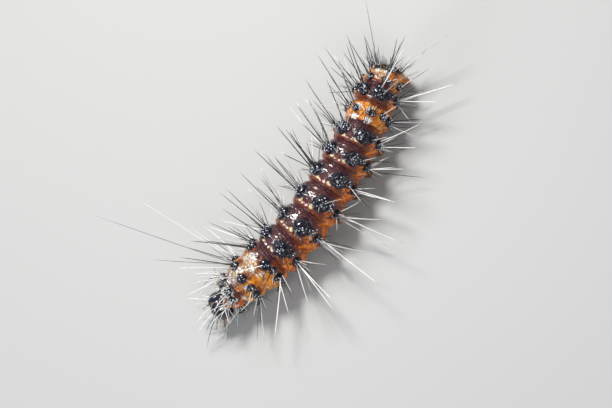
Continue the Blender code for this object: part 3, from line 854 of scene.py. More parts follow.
@dataclass(frozen=True)
class ShellFinish:
    """Hard, polished cuticle of the warts, the head, the jaws and the legs."""

    effects: Effects
    name: str
    dark: Tone = Tone.JET
    light: Tone = Tone.SLATE
    scale: float = 3.0
    roughness: Pair = (0.1, 0.26)
    coat: float = 0.6
    bump: float = 0.02
    pebbles: float = 8.0
    # Pale colour where the seam attribute is set: a real seam on the head, a painted highlight on the
    # sockets.
    seam: Tone = Tone.AMBER

    def material(self) -> Material:
        """Builds a glossy, cloudy material, finely pebbled, coloured pale where the mesh's seam attribute is
        set: along the seams of the head, and as painted highlights on the pale bead sockets.
        """
        made, sheet, shader = new_material(self.name)
        place = sheet.place()
        clouds = sheet.ease(sheet.grain(place, self.scale, 4.0, 0.6), 0.35, 0.75)
        colour = sheet.blend(clouds, self.dark.value, self.light.value)
        gloss = sheet.grain(place, self.scale * 2)
        pebbled = {"Vector": place, "Lie": place, "Pebbles": self.pebbles, "Wrinkles": 0.6}
        height = sheet.group(self.effects.shagreen, **pebbled)
        sheet.fill(
            shader,
            {
                "Base Color": sheet.blend(sheet.attribute("seam"), colour, self.seam.value),
                "Roughness": sheet.ease(gloss, 0.3, 0.7, *self.roughness),
                "Normal": sheet.bump(height.outputs[0], self.bump),
                "Coat Weight": self.coat,
                "Coat Roughness": 0.05,
            },
        )
        return made


@dataclass(frozen=True)
class BristleFinish:
    """Glossy bristles, dark or silvery, that vary a little from one to the next. The silvery colour is partly
    real and partly painted glint of light on glossy bristles.
    """

    name: str
    root: Tone
    tip: Tone
    roughness: float = 0.22
    coat: float = 0.6

    def material(self) -> Material:
        """Builds the material from the bristle's growth and tint attributes."""
        made, sheet, shader = new_material(self.name)
        grow = sheet.ease(sheet.attribute("grow"), 0.1, 1.0)
        colour = sheet.blend(grow, self.root.value, self.tip.value)
        tint = sheet.ease(sheet.attribute("tint"), 0.0, 1.0, 0.65, 1.15)
        barbs = sheet.grain(sheet.place(), 14.0, 2.0)
        gloss = sheet.ease(barbs, 0.3, 0.7, self.roughness * 0.6, self.roughness * 1.6)
        sheet.fill(
            shader,
            {
                "Base Color": sheet.multiply(colour, tint),
                "Roughness": gloss,
                "Normal": sheet.bump(barbs, 0.02),
                "Coat Weight": self.coat,
                "Coat Roughness": 0.1,
            },
        )
        return made


def floor_material() -> Material:
    """The studio floor's plain, pale, matt material, with a hint of unevenness."""
    made, sheet, shader = new_material("studio_floor")
    clouds = sheet.ease(sheet.grain(sheet.place(), 0.01, 2.0), 0.3, 0.7)
    pale = Tone.FLOOR.value
    colour = sheet.blend(clouds, pale, tuple(0.97 * part for part in pale))
    sheet.fill(shader, {"Base Color": colour, "Roughness": 0.75})
    return made


def new_object(name: str, data: bpy.types.ID) -> bpy.types.Object:
    """Puts a mesh, a light or a camera in the scene."""
    item = bpy.data.objects.new(name, data)
    bpy.context.scene.collection.objects.link(item)
    return item


def aligned(x: Sequence[float], y: Sequence[float], z: Sequence[float]) -> Matrix:
    """The turn that takes the three axes to three directions."""
    return Matrix((x, y, z)).transposed().to_4x4()


def new_mesh(name: str, shape: Shape) -> bpy.types.Mesh:
    """Writes a bmesh to a new mesh, and frees it."""
    mesh = bpy.data.meshes.new(name)
    shape.to_mesh(mesh)
    shape.free()
    return mesh


def sphere(sides: int, levels: int) -> Shape:
    """A unit sphere."""
    shape = bmesh.new()
    bmesh.ops.create_uvsphere(shape, u_segments=sides, v_segments=levels, radius=1)
    return shape


def spike(sides: int) -> Shape:
    """A cone of height 1 that stands on the origin, its foot of radius 1."""
    shape = bmesh.new()
    bmesh.ops.create_cone(shape, cap_ends=True, segments=sides, radius1=1, radius2=0, depth=1)
    bmesh.ops.translate(shape, verts=shape.verts, vec=(0, 0, 0.5))
    return shape


def add_barrel(shape: Shape, sides: int, levels: int, form: Callable[[float, Vector], Vector]) -> None:
    """Adds a closed barrel to a shape.

    Args:
        shape: the mesh that it joins.
        sides: its corners round its axis.
        levels: its rows along its axis.
        form: the point in millimetres for a share of the way along and a unit direction across, which is
            zero at both ends.
    """
    found = bmesh.ops.create_uvsphere(shape, u_segments=sides, v_segments=levels, radius=1)["verts"]
    for vertex in found:
        x, y, z = vertex.co
        flat = Vector((x, y, 0)).normalized() if abs(z) < 0.999 else Vector((0, 0, 0))
        vertex.co = form((z + 1) / 2, flat) * MM


def across_of(start: Vector, end: Vector) -> tuple[Vector, Vector, Vector]:
    """The direction from one point to another, and two directions across it."""
    axis = (end - start).normalized()
    across = axis.orthogonal().normalized()
    return axis, across, axis.cross(across)


def as_piece(
    name: str, form: Shape | bpy.types.Mesh, finish: Material, nodes: Sequence[str] = ()
) -> bpy.types.Object:
    """Makes a finished mesh or bmesh a smooth shaded piece of the model.

    Args:
        name: the piece's name.
        form: its mesh in metres; a bmesh is freed.
        finish: its material.
        nodes: the solids that it stands for.

    Returns:
        The new object, riding on the body.
    """
    mesh = form if isinstance(form, bpy.types.Mesh) else new_mesh(name, form)
    mesh.shade_smooth()
    mesh.materials.append(finish)
    item = new_object(name, mesh)
    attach(item, "root")
    if nodes:
        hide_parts(*nodes)
    LOG.info("%s: %d faces", name, len(mesh.polygons))
    return item


def set_attribute(mesh: bpy.types.Mesh, name: str, values: Array) -> None:
    """Writes a float, or three floats, for each of the mesh's vertices."""
    kind, key = ("FLOAT", "value") if values.ndim == 1 else ("FLOAT_VECTOR", "vector")
    layer = mesh.attributes.new(name, kind, "POINT")
    layer.data.foreach_set(key, np.ascontiguousarray(values, np.float32).ravel())


def vertex_array(mesh: bpy.types.Mesh) -> Array:
    """The mesh's vertices, a row each."""
    flat = np.empty(len(mesh.vertices) * 3, np.float32)
    mesh.vertices.foreach_get("co", flat)
    return flat.reshape(-1, 3).astype(float)


@dataclass(frozen=True)
class Pleat:
    """A soft ridge along each flank, or a furrow where its height is below 0.

    Its angle and width are in degrees and its height in millimetres. Its reach is how far it spreads from
    the middle of each ring, as a share of the ring, or none where it runs on unbroken.
    """

    angle: float
    width: float
    height: float
    reach: float | None = None

    def rise(self, along: Array, pattern: Array) -> Array:
        """How far it lifts the skin at shares of the way along a ring and angles from the back."""
        lift = self.height * hump(pattern - self.angle, self.width)
        return lift if self.reach is None else lift * hump(along - 0.5, self.reach)


@dataclass
class Skin:
    """The one fine skin of the trunk and the belly legs.

    A cross crease is given by its place along the ring and its depth. The leg's profile gives, for shares
    of the way from a leg's middle to its edge, the radius and the share of the belly's height.
    """

    plan: BodyPlan
    effects: Effects
    sides: int = 150
    rows: int = 560
    front: float = -0.32
    fold_depth: float = 0.12
    fold_power: float = 2.8
    crease_depth: float = 0.15
    crease_width: float = 0.13
    cross_creases: tuple[Pair, ...] = ((0.24, 0.07), (0.82, 0.06))
    cross_width: float = 0.09
    cross_wave: float = 0.03
    upper_furrow: Pleat = Pleat(75, 5.0, -0.07)
    pleats: tuple[Pleat, ...] = (
        Pleat(103, 6.0, -0.12),
        Pleat(90, 10.0, 0.1, 0.35),
        Pleat(116, 9.0, 0.06, 0.3),
    )
    soft_belly: float = 0.1
    belly_sag: float = 0.05
    collar_height: float = 0.12
    collar_width: float = 1.1
    lobe_width: float = 1.25
    ink_width: float = 1.12
    leg_reach: float = 0.98
    leg_lean: float = 0.12
    leg_places: tuple[float, ...] = (0.0, 0.4, 0.47, 0.54, 0.62, 0.72, 0.84, 0.93, 1.0)
    leg_radii: tuple[float, ...] = (0.0, 0.42, 0.49, 0.49, 0.41, 0.42, 0.52, 0.7, 0.98)
    leg_levels: tuple[float, ...] = (0.0, 0.0, 0.02, 0.1, 0.24, 0.5, 0.78, 0.92, 1.0)
    tail_stations: tuple[float, ...] = (0.0, 0.22, 0.5, 0.74, 0.9, 1.0)
    tail_shares: tuple[float, ...] = (0.94, 1.0, 0.95, 0.8, 0.58, 0.0)

    def build(self) -> bpy.types.Object:
        """Shapes a closed sphere into the skin, and writes its markings."""
        mesh = new_mesh("skin", sphere(self.sides, self.rows))
        unit = vertex_array(mesh)
        share = np.arccos(np.clip(unit[:, 2], -1, 1)) / math.pi
        angles = np.arctan2(unit[:, 1], unit[:, 0])
        stations = self.front + share * (self.plan.length - self.front)
        points, pattern = self.surface(stations, angles)
        mesh.vertices.foreach_set("co", (points * MM).astype(np.float32).ravel())
        self.mark(mesh, stations, pattern, points)
        mesh.update()
        self.turn_out(mesh)
        names = [ring.name for ring in RINGS] + [leg[0] for leg in self.plan.belly_legs()]
        return as_piece("skin", mesh, SkinFinish(self.effects).material(), names)

    def turn_out(self, mesh: bpy.types.Mesh) -> None:
        """Turns the faces to the outside."""
        shape = bmesh.new()
        shape.from_mesh(mesh)
        if shape.calc_volume(signed=True) < 0:
            bmesh.ops.reverse_faces(shape, faces=shape.faces)
        shape.to_mesh(mesh)
        shape.free()

    def along(self, stations: Array) -> tuple[Array, Array]:
        """The ring of each station and the share of the way along it."""
        starts = self.plan.starts
        index = np.clip(np.searchsorted(starts, stations, "right") - 1, 0, len(RINGS) - 1)
        lengths = np.array([ring.length for ring in RINGS])
        return index, (stations - starts[index]) / lengths[index]

    def surface(self, stations: Array, angles: Array) -> tuple[Array, Array]:
        """The skin's points.

        Args:
            stations: each point's station.
            angles: each point's angle from the top, in radians.

        Returns:
            The points, and each one's angle from the middle of the back in degrees, without its sign.
        """
        plan = self.plan
        centre, _, left = plan.frames(stations)
        index, along = self.along(stations)
        radius = plan.radius(stations) * self.ring_share(index, along, stations)
        is_tail = index == len(RINGS) - 1
        centre[:, 2] = np.where(is_tail, plan.belly_height + plan.axis_share * radius, centre[:, 2])
        outward = left * np.sin(angles)[:, None]
        outward[:, 2] = np.cos(angles)
        turned = np.degrees(angles - plan.turned(stations))
        pattern = np.abs((turned + 180) % 360 - 180)
        length = np.array([ring.length for ring in RINGS])[index]
        radius = radius + self.relief(along, length, pattern)
        points = centre + outward * radius[:, None]
        points += outward * self.rough(points)[:, None] + self.swelling(points, outward)
        depth = (points[:, 2] - plan.belly_height) / self.soft_belly
        softened = np.where(depth > 20, depth, np.log1p(np.exp(np.minimum(depth, 20.0))))
        points[:, 2] = plan.belly_height - self.belly_sag + self.soft_belly * softened
        return self.with_legs(points, outward), pattern

    def ring_share(self, index: Array, along: Array, stations: Array) -> Array:
        """The radius's share left by the folds between the rings, the neck's cap and the tail's end.

        Args:
            index: each point's ring.
            along: its share of the way along the ring.
            stations: its distance behind the neck.

        Returns:
            Each point's share, from 0 to 1.
        """
        fold = 1 - self.fold_depth * np.abs(2 * np.clip(along, 0, 1) - 1) ** self.fold_power
        tail = np.interp(along, self.tail_stations, self.tail_shares)
        rounded = np.sqrt(np.clip(1 - smooth(0.55, 1.0, along) ** 2, 0, 1))
        tail = np.where(along > 0.5, np.minimum(tail + 0.1, 0.95) * rounded, tail)
        fold = np.where(index == len(RINGS) - 1, tail, fold)
        cap = np.sqrt(np.clip(1 - (np.clip(-stations, 0, None) / -self.front) ** 2, 0, 1))
        return fold * cap

    def relief(self, along: Array, length: Array, pattern: Array) -> Array:
        """Creases between and across the rings, and the pleats along the flanks.

        Args:
            along: each point's share of the way along its ring.
            length: its ring's length.
            pattern: its angle from the middle of the back, in degrees.

        Returns:
            How far each point is raised, or lowered where it is below 0.
        """
        edge = np.minimum(along, 1 - along)
        total = -self.crease_depth * hump(edge * length, self.crease_width)
        back = 1 - smooth(70, 110, pattern)
        wave = self.cross_wave * np.sin(np.radians(pattern) * 5)
        for place, depth in self.cross_creases:
            away = (along - (place + wave)) * length
            total -= depth * hump(away, self.cross_width) * (0.35 + 0.65 * back)
        total += self.upper_furrow.rise(along, pattern) * smooth(0.05, 0.3, edge)
        for pleat in self.pleats:
            total += pleat.rise(along, pattern)
        return total

    def swelling(self, points: Array, outward: Array) -> Array:
        """Raises the collar round each wart and the fleshy lobes of the neck.

        Args:
            points: the skin's points.
            outward: each point's outward direction.

        Returns:
            Each point's move.
        """
        rise = np.zeros(len(points))
        lobes = np.zeros_like(points)
        for wart in self.plan.warts():
            away = np.linalg.norm(points - wart.centre, axis=1)
            if self.plan.is_lobe(wart.ring, wart.kind):
                dome = np.sqrt(np.clip(1 - (away / (wart.radius * self.lobe_width)) ** 2, 0, 1))
                lobes += wart.normal * (wart.height * dome)[:, None]
            else:
                collar = self.collar_height * hump(away, wart.radius * self.collar_width)
                rise = np.maximum(rise, collar)
        return outward * rise[:, None] + lobes

    def rough(self, points: Array) -> Array:
        """Uneven flesh: broad dents with finer ones on them."""
        return np.array(
            [
                0.05 * noise.noise(Vector(p) * 0.9) + 0.022 * noise.noise(Vector(p) * 3.1)
                for p in points
            ]
        )

    def with_legs(self, points: Array, outward: Array) -> Array:
        """Draws the belly down into the belly legs, each a pillar that flares into a flat foot.

        Args:
            points: the skin's points, which are changed.
            outward: each point's outward direction.

        Returns:
            The points.
        """
        below = outward[:, 2] < -0.15
        for _, top, out, _ in self.plan.belly_legs():
            offset = points[:, :2] - top[:2]
            away = np.linalg.norm(offset, axis=1)
            near = below & (away < self.leg_reach)
            share = away[near] / self.leg_reach
            way = offset[near] / np.maximum(away[near], 1e-6)[:, None]
            level = np.interp(share, self.leg_places, self.leg_levels)
            radius = np.interp(share, self.leg_places, self.leg_radii)
            lean = self.leg_lean * (1 - level)[:, None] * out[:2]
            points[near, :2] = top[:2] + way * radius[:, None] + lean
            points[near, 2] = np.maximum(points[near, 2] * level, 0.02)
        return points

    def mark(
        self, mesh: bpy.types.Mesh, stations: Array, pattern: Array, points: Array
    ) -> None:
        """Writes the marking masks and the lie of the wrinkles as attributes.

        Args:
            mesh: the skin's mesh.
            stations: each point's distance behind the neck.
            pattern: its angle from the middle of the back, in degrees.
            points: its place in millimetres.
        """
        masks = {mask: np.zeros(len(stations)) for mask in Mask}
        for index, ring in enumerate(RINGS):
            along = (stations - self.plan.starts[index]) / ring.length
            for patch in PATCHES[ring.pattern]:
                far = np.hypot(
                    (along - patch.along) / patch.half_along,
                    (pattern - patch.angle) / patch.half_angle,
                )
                value = patch.strength * (1 - smooth(0.5, 1.5, far))
                masks[patch.mask] = np.maximum(masks[patch.mask], value)
        for wart in self.plan.warts():
            if wart.kind.row is not Row.FRONT and wart.ring != 0:
                away = np.linalg.norm(points - wart.centre, axis=1) / (wart.radius * self.ink_width)
                masks[Mask.INK] = np.maximum(masks[Mask.INK], 1 - smooth(0.8, 1.2, away))
        masks[Mask.BELLY] = smooth(112, 140, pattern)
        masks[Mask.PLUM] *= 1 - smooth(70, 100, pattern)
        for mask, values in masks.items():
            set_attribute(mesh, mask.value, values)
        girth = np.radians(pattern) * self.plan.radius(stations)
        set_attribute(mesh, "lie", np.stack([stations, girth, np.zeros_like(girth)], 1))


class Stamp:
    """A small shape that is copied many times into one mesh."""

    def __init__(self, shape: Shape) -> None:
        """Reads the shape's points and faces, and frees it."""
        bmesh.ops.recalc_face_normals(shape, faces=shape.faces)
        shape.verts.ensure_lookup_table()
        self.points = np.array([v.co for v in shape.verts])
        self.sizes = np.array([len(f.verts) for f in shape.faces], np.int32)
        self.corners = np.array([v.index for f in shape.faces for v in f.verts], np.int32)
        shape.free()

    def mesh(self, name: str, copies: Array) -> bpy.types.Mesh:
        """Joins placed copies into one mesh.

        Args:
            name: the mesh's name.
            copies: the copies' points in metres, as an array of copy, point and axis.

        Returns:
            The joined mesh.
        """
        count, points, _ = copies.shape
        mesh = bpy.data.meshes.new(name)
        mesh.vertices.add(count * points)
        mesh.vertices.foreach_set("co", copies.astype(np.float32).ravel())
        shifts = np.arange(count, dtype=np.int32)[:, None] * points
        mesh.loops.add(count * len(self.corners))
        mesh.loops.foreach_set("vertex_index", (shifts + self.corners).astype(np.int32).ravel())
        sizes = np.tile(self.sizes, count)
        mesh.polygons.add(len(sizes))
        starts = np.concatenate([[0], np.cumsum(sizes)[:-1]]).astype(np.int32)
        mesh.polygons.foreach_set("loop_start", starts)
        mesh.update(calc_edges=True)
        mesh.validate()
        return mesh


@dataclass
class Bristle:
    """One bristle: a tapering rod from its root, bent evenly towards its tip."""

    root: Array
    way: Array
    length: float
    radius: float
    bend: Array
    station: float
    angle: float
    tint: float

    def tip(self) -> Array:
        """The bristle's far end."""
        return self.root + (self.way + self.bend) * self.length


@dataclass
class Coat:
    """All the bristles of one colour, joined, with a map that gives each bristle a small patch."""

    plan: BodyPlan
    sides: int = 5
    levels: int = 6
    patch: float = 0.003
    floor: float = 0.12

    def stamp(self) -> Stamp:
        """The bristle's shape: a cone of few sides, cut into levels."""
        shape = spike(self.sides)
        long_edges = [e for e in shape.edges if abs(e.verts[0].co.z - e.verts[1].co.z) > 0.5]
        bmesh.ops.subdivide_edges(shape, edges=long_edges, cuts=self.levels - 1)
        return Stamp(shape)

    def lifted(self, bristle: Bristle) -> Bristle:
        """The bristle, bent up where its tip would touch the floor."""
        low = self.floor - float(bristle.tip()[2])
        if low > 0:
            bristle.bend = bristle.bend + np.array((0, 0, low / bristle.length))
        return bristle

    def build(self, name: str, bristles: Sequence[Bristle], finish: Material) -> bpy.types.Object:
        """Joins the bristles into one piece.

        Args:
            name: the piece's name.
            bristles: the planned bristles.
            finish: their material.

        Returns:
            The coat's object.
        """
        stamp = self.stamp()
        share = np.round(stamp.points[:, 2] * self.levels) / self.levels
        turn = np.arctan2(stamp.points[:, 1], stamp.points[:, 0])
        profile = self.profile(share)
        grown = [self.lifted(b) for b in bristles]
        copies = np.stack([self.placed(b, share, turn, profile) for b in grown])
        mesh = stamp.mesh(name, copies * MM)
        set_attribute(mesh, "grow", np.tile(share, len(grown)))
        set_attribute(mesh, "tint", np.repeat([b.tint for b in grown], len(share)))
        self.unwrap(mesh, grown, share, turn)
        return as_piece(name, mesh, finish)

    def profile(self, share: Array) -> Array:
        """A bristle's thickness along it: an even taper, quicker near the tip, which is a point."""
        return np.where(share > 0.999, 0.0, 1 - 0.45 * share - 0.3 * share**5)

    def placed(self, b: Bristle, share: Array, turn: Array, profile: Array) -> Array:
        """The points of one bristle in millimetres."""
        way = Vector(b.way)
        across = np.array(way.orthogonal().normalized())
        other = np.cross(b.way, across)
        line = b.root + (b.way * share[:, None] + b.bend * (share**2)[:, None]) * b.length
        ring = across * np.cos(turn)[:, None] + other * np.sin(turn)[:, None]
        return line + ring * (profile * b.radius)[:, None]

    def unwrap(
        self, mesh: bpy.types.Mesh, bristles: Sequence[Bristle], share: Array, turn: Array
    ) -> None:
        """Gives each bristle a small patch at its root's place on the skin's own unwrap.

        Args:
            mesh: the coat's mesh.
            bristles: its bristles, in their order there.
            share: each point's share of the way to the tip.
            turn: its angle round the bristle.
        """
        roots = np.array([(b.station / self.plan.length, b.angle / 360 + 0.5) for b in bristles])
        roots = np.clip(roots, 0.01, 0.99)
        local = np.stack([turn / math.tau, share - 0.5], 1) * self.patch
        spots = (roots[:, None, :] + local[None, :, :]).reshape(-1, 2)
        corners = np.empty(len(mesh.loops), np.int32)
        mesh.loops.foreach_get("vertex_index", corners)
        layer = mesh.uv_layers.new(name="OFBake")
        layer.data.foreach_set("uv", spots[corners].astype(np.float32).ravel())


# Share of silvery bristles in each row: partly pale bristles, partly painted glint where light catches glossy
# ones.
SILVER_GLINT_SHARES = {Row.FRONT: 0.6, Row.BACK: 0.24, Row.UPPER: 0.3, Row.SIDE: 0.5, Row.LOW: 0.45}


@dataclass
class Tufts:
    """Plans the warts' bristles: where each is rooted, where it points and how long it is."""

    plan: BodyPlan
    chance: np.random.Generator
    stub: float = 0.5
    long_from: float = 0.58
    socket_spread: float = 0.94
    least_radius: float = 0.024
    radius_growth: float = 0.0052
    silver_glint_stoutness: float = 1.15
    fine_radius: float = 0.03
    smooth_rings: tuple[int, ...] = (1, 2)
    neck_lift: float = 0.25
    neck_droop: Pair = (0.2, 0.65)
    neck_silver_glint: float = 0.86
    near_silver_glint: float = 0.08

    def kind_of(self, wart: Wart) -> WartKind:
        """The wart's kind, with fewer bristles on the smooth rings."""
        if wart.ring not in self.smooth_rings:
            return wart.kind
        kind = replace(wart.kind, stubs=1)
        if wart.side < 0:
            return kind
        return replace(kind, long=min(kind.long, 1), short=min(kind.short, 3))

    def sockets(self, wart: Wart) -> list[tuple[Array, Array, Array, float]]:
        """The bristles' places on a wart, spread evenly over it.

        Args:
            wart: the wart.

        Returns:
            For each one its point on the dome, the dome's outward direction there, the direction from the
            wart's middle and the share of the way to its edge.
        """
        found = []
        kind = self.kind_of(wart)
        count = math.ceil((kind.long + kind.short + kind.stubs) * wart.share)
        for number in range(count):
            out = self.socket_spread * math.sqrt((number + 0.35) / count)
            turn = GOLDEN_ANGLE * number + self.chance.uniform(-0.25, 0.25) + wart.station
            spread = wart.forward * math.cos(turn) + wart.around * math.sin(turn)
            rise = math.sqrt(1 - out * out)
            point = wart.centre + spread * wart.radius * out + wart.normal * wart.height * rise
            slope = wart.normal * (rise / wart.height) + spread * (out / wart.radius)
            found.append((point, normed(slope), spread, out))
        return found

    def lengths(self, wart: Wart, count: int) -> list[float]:
        """Draws the lengths of a wart's bristles, long, short and stub ones shuffled.

        Args:
            wart: the wart.
            count: how many bristles it has.

        Returns:
            A length for each bristle, from the wart's middle outwards.
        """
        kind = self.kind_of(wart)
        long = math.ceil(kind.long * wart.share)
        short = math.ceil(kind.short * wart.share)
        values = [kind.longest * (1 - 0.4 * self.chance.random() ** 1.5) for _ in range(long)]
        values += [mix(kind.shortest, 0.5 * kind.longest, self.chance.random()) for _ in range(short)]
        values += [self.stub * self.chance.uniform(0.25, 0.95) for _ in range(count - long - short)]
        self.chance.shuffle(values)
        return values

    def grow(self, wart: Wart) -> list[tuple[Bristle, bool]]:
        """Plans the tuft of one wart.

        Args:
            wart: the wart.

        Returns:
            Its bristles, each with whether it is silver.
        """
        ring = RINGS[wart.ring]
        on_side = wart.kind.row in (Row.SIDE, Row.LOW)
        lean = math.tan(math.radians(ring.side_lean if on_side else ring.lean))
        tuft = []
        places = self.sockets(wart)
        lengths = self.lengths(wart, len(places))
        for (point, slope, spread, out), length in zip(places, lengths):
            is_long = length > self.long_from * wart.kind.longest
            fan = math.tan(math.radians(wart.kind.fan) * (0.2 + 0.8 * out) * (0.5 if is_long else 1.2))
            jitter = self.chance.normal(0, 0.06 if is_long else 0.16, 3)
            way = wart.normal + wart.forward * lean + spread * fan + jitter
            if length < self.stub:
                way = 0.6 * slope + way
            way = normed(way)
            bend = (self.chance.normal(0, 0.035, 3) - wart.normal * 0.02) + np.array((0, 0, -0.02))
            # A silvery bristle is partly a pale one and partly painted glint of the light.
            silver = self.chance.random() < SILVER_GLINT_SHARES[wart.kind.row]
            if wart.kind.row is Row.BACK and wart.side > 0:
                silver = self.chance.random() < self.near_silver_glint
            if wart.ring == 0:
                way = normed(way + np.array((0, 0, self.neck_lift)))
                bend = bend + np.array((0, 0, -self.chance.uniform(*self.neck_droop)))
                silver = self.chance.random() < self.neck_silver_glint
            radius = (self.least_radius + self.radius_growth * length) * self.chance.uniform(0.85, 1.15)
            radius *= self.silver_glint_stoutness if silver else 1.0
            tuft.append((self.bristle(wart, point - way * 0.04, way, length, radius, bend), silver))
        return tuft + [self.aimed(wart, row) for row in AIMED if self.is_at(wart, row)]

    def bristle(
        self, wart: Wart, root: Array, way: Array, length: float, radius: float, bend: Array
    ) -> Bristle:
        """One bristle of a wart, with a tint of its own."""
        angle = wart.side * wart.kind.angle
        tint = float(self.chance.random())
        return Bristle(root, way, length, radius, bend, wart.station, angle, tint)

    def is_at(self, wart: Wart, row: Aimed) -> bool:
        """Whether a measured bristle belongs to the wart."""
        return (wart.ring, wart.kind.row, wart.side) == (row.ring, row.row, row.side)

    def aimed(self, wart: Wart, row: Aimed) -> tuple[Bristle, bool]:
        """A measured bristle, rooted near the wart's top.

        Args:
            wart: the wart.
            row: the bristle's row in the table.

        Returns:
            The bristle, and whether it is silver.
        """
        reach = np.array(row.reach)
        length = float(np.linalg.norm(reach))
        ahead, beside = self.chance.uniform(-0.4, 0.4), self.chance.uniform(-0.4, 0.4)
        spread = wart.forward * ahead + wart.around * beside
        bend = self.chance.normal(0, 0.02, 3)
        root = wart.centre + spread * wart.radius + wart.normal * wart.height * 0.8
        radius = self.fine_radius if row.fine else 0.042 + 0.0036 * min(length, 7.0)
        return self.bristle(wart, root, reach / length, length, radius, bend), row.silver


@dataclass
class Warts:
    """The black domes of the warts and the bead-like sockets of their bristles, many sockets painted pale as
    highlights.
    """

    plan: BodyPlan
    effects: Effects
    sides: int = 20
    rings: int = 14
    bead_radius: float = 0.066
    grain_radius: float = 0.042
    # Share of the sockets and grains painted pale as highlights.
    painted_highlight_share: float = 0.6

    def build(
        self, tufts: Sequence[tuple[Wart, list[tuple[Bristle, bool]]]], grains: Sequence[Bristle]
    ) -> None:
        """Builds the domes as one piece, and the sockets and the skin's grains as another.

        Args:
            tufts: each wart with its tuft.
            grains: the hairs of the skin's grains.
        """
        stamp = Stamp(sphere(self.sides, self.rings))
        domes = []
        beads = []
        for wart, tuft in tufts:
            if not self.plan.is_lobe(wart.ring, wart.kind):
                domes.append(self.dome(stamp.points, wart))
            beads += [(b.root, b.way, self.bead_radius) for b, _ in tuft]
        beads += [(b.root, b.way, self.grain_radius * (0.6 + 0.8 * b.tint)) for b in grains]
        mesh = stamp.mesh("warts", np.stack(domes) * MM)
        finish = ShellFinish(self.effects, "wart_shell", bump=0.03, pebbles=6.0).material()
        as_piece("warts", mesh, finish)
        self.build_beads(beads)

    def dome(self, unit: Array, wart: Wart) -> Array:
        """The points of one dome, a little uneven."""
        uneven = np.array([noise.noise(Vector(p) * 1.7 + Vector(wart.centre)) for p in unit])
        scaled = unit * (1 + 0.1 * uneven)[:, None]
        across = wart.forward[None, :] * scaled[:, :1] + wart.around[None, :] * scaled[:, 1:2]
        up = wart.normal[None, :] * scaled[:, 2:] * wart.height
        return wart.centre + across * wart.radius + up

    def build_beads(self, places: Sequence[tuple[Array, Array, float]]) -> None:
        """Builds the sockets, a small bead of a given radius at each bristle's root."""
        stamp = Stamp(sphere(8, 5))
        copies = []
        for number, (root, way, radius) in enumerate(places):
            size = radius * (0.75 + 0.45 * ((number * GOLDEN_SHARE) % 1))
            copies.append(root + way * 0.4 * size + stamp.points * size)
        mesh = stamp.mesh("bristle_sockets", np.stack(copies) * MM)
        # These beads are painted pale as highlights of glossy sockets.
        pale = (np.arange(len(places)) * (1 - GOLDEN_SHARE)) % 1 < self.painted_highlight_share
        set_attribute(mesh, "seam", np.repeat(pale.astype(float), len(stamp.points)))
        finish = ShellFinish(self.effects, "socket_shell", scale=5.0, bump=0.005, seam=Tone.PEARL)
        as_piece("bristle_sockets", mesh, finish.material())


@dataclass
class Granules:
    """Small grains of the skin between the warts, each with a fine hair and a bead at its root, many beads
    painted pale as highlights.
    """

    skin: Skin
    chance: np.random.Generator
    per_ring: int = 34
    on_tail: int = 110
    widest: float = 120.0
    hair_lengths: Pair = (0.25, 1.15)
    tail_growth: float = 1.5

    def scattered(self) -> list[Bristle]:
        """Scatters the grains' hairs over the rings, thickest on the back and on the last ring."""
        places = []
        for index, ring in enumerate(RINGS):
            count = self.on_tail if ring.pattern is Pattern.TAIL else self.per_ring
            for _ in range(count):
                along = self.chance.uniform(0.1, 0.92)
                station = self.skin.plan.station(index, along)
                angle = self.widest * self.chance.uniform(-1, 1) * self.chance.random() ** 0.6
                places.append((station, angle, ring.lean))
        stations, angles, leans = np.array(places).T
        turns = np.radians(angles) + self.skin.plan.turned(stations)
        points = self.skin.surface(stations, turns)[0]
        return [self.hair(*row) for row in zip(points, stations, angles, leans)]

    def hair(self, point: Array, station: float, angle: float, lean: float) -> Bristle:
        """One short hair rooted at a point of the skin.

        Args:
            point: its root.
            station: the root's distance behind the neck.
            angle: the root's angle from the middle of the back.
            lean: its ring's lean, in degrees.

        Returns:
            The hair.
        """
        _, forward, _, normal = self.skin.plan.at(station, angle)
        way = normal + forward * math.tan(math.radians(0.8 * lean)) + self.chance.normal(0, 0.22, 3)
        growth = self.tail_growth if lean < -50 else 1.0
        length = self.chance.uniform(*self.hair_lengths) * growth
        bend = self.chance.normal(0, 0.06, 3)
        tint = float(self.chance.random())
        return Bristle(point, normed(way), length, 0.013 + 0.005 * length, bend, station, angle, tint)


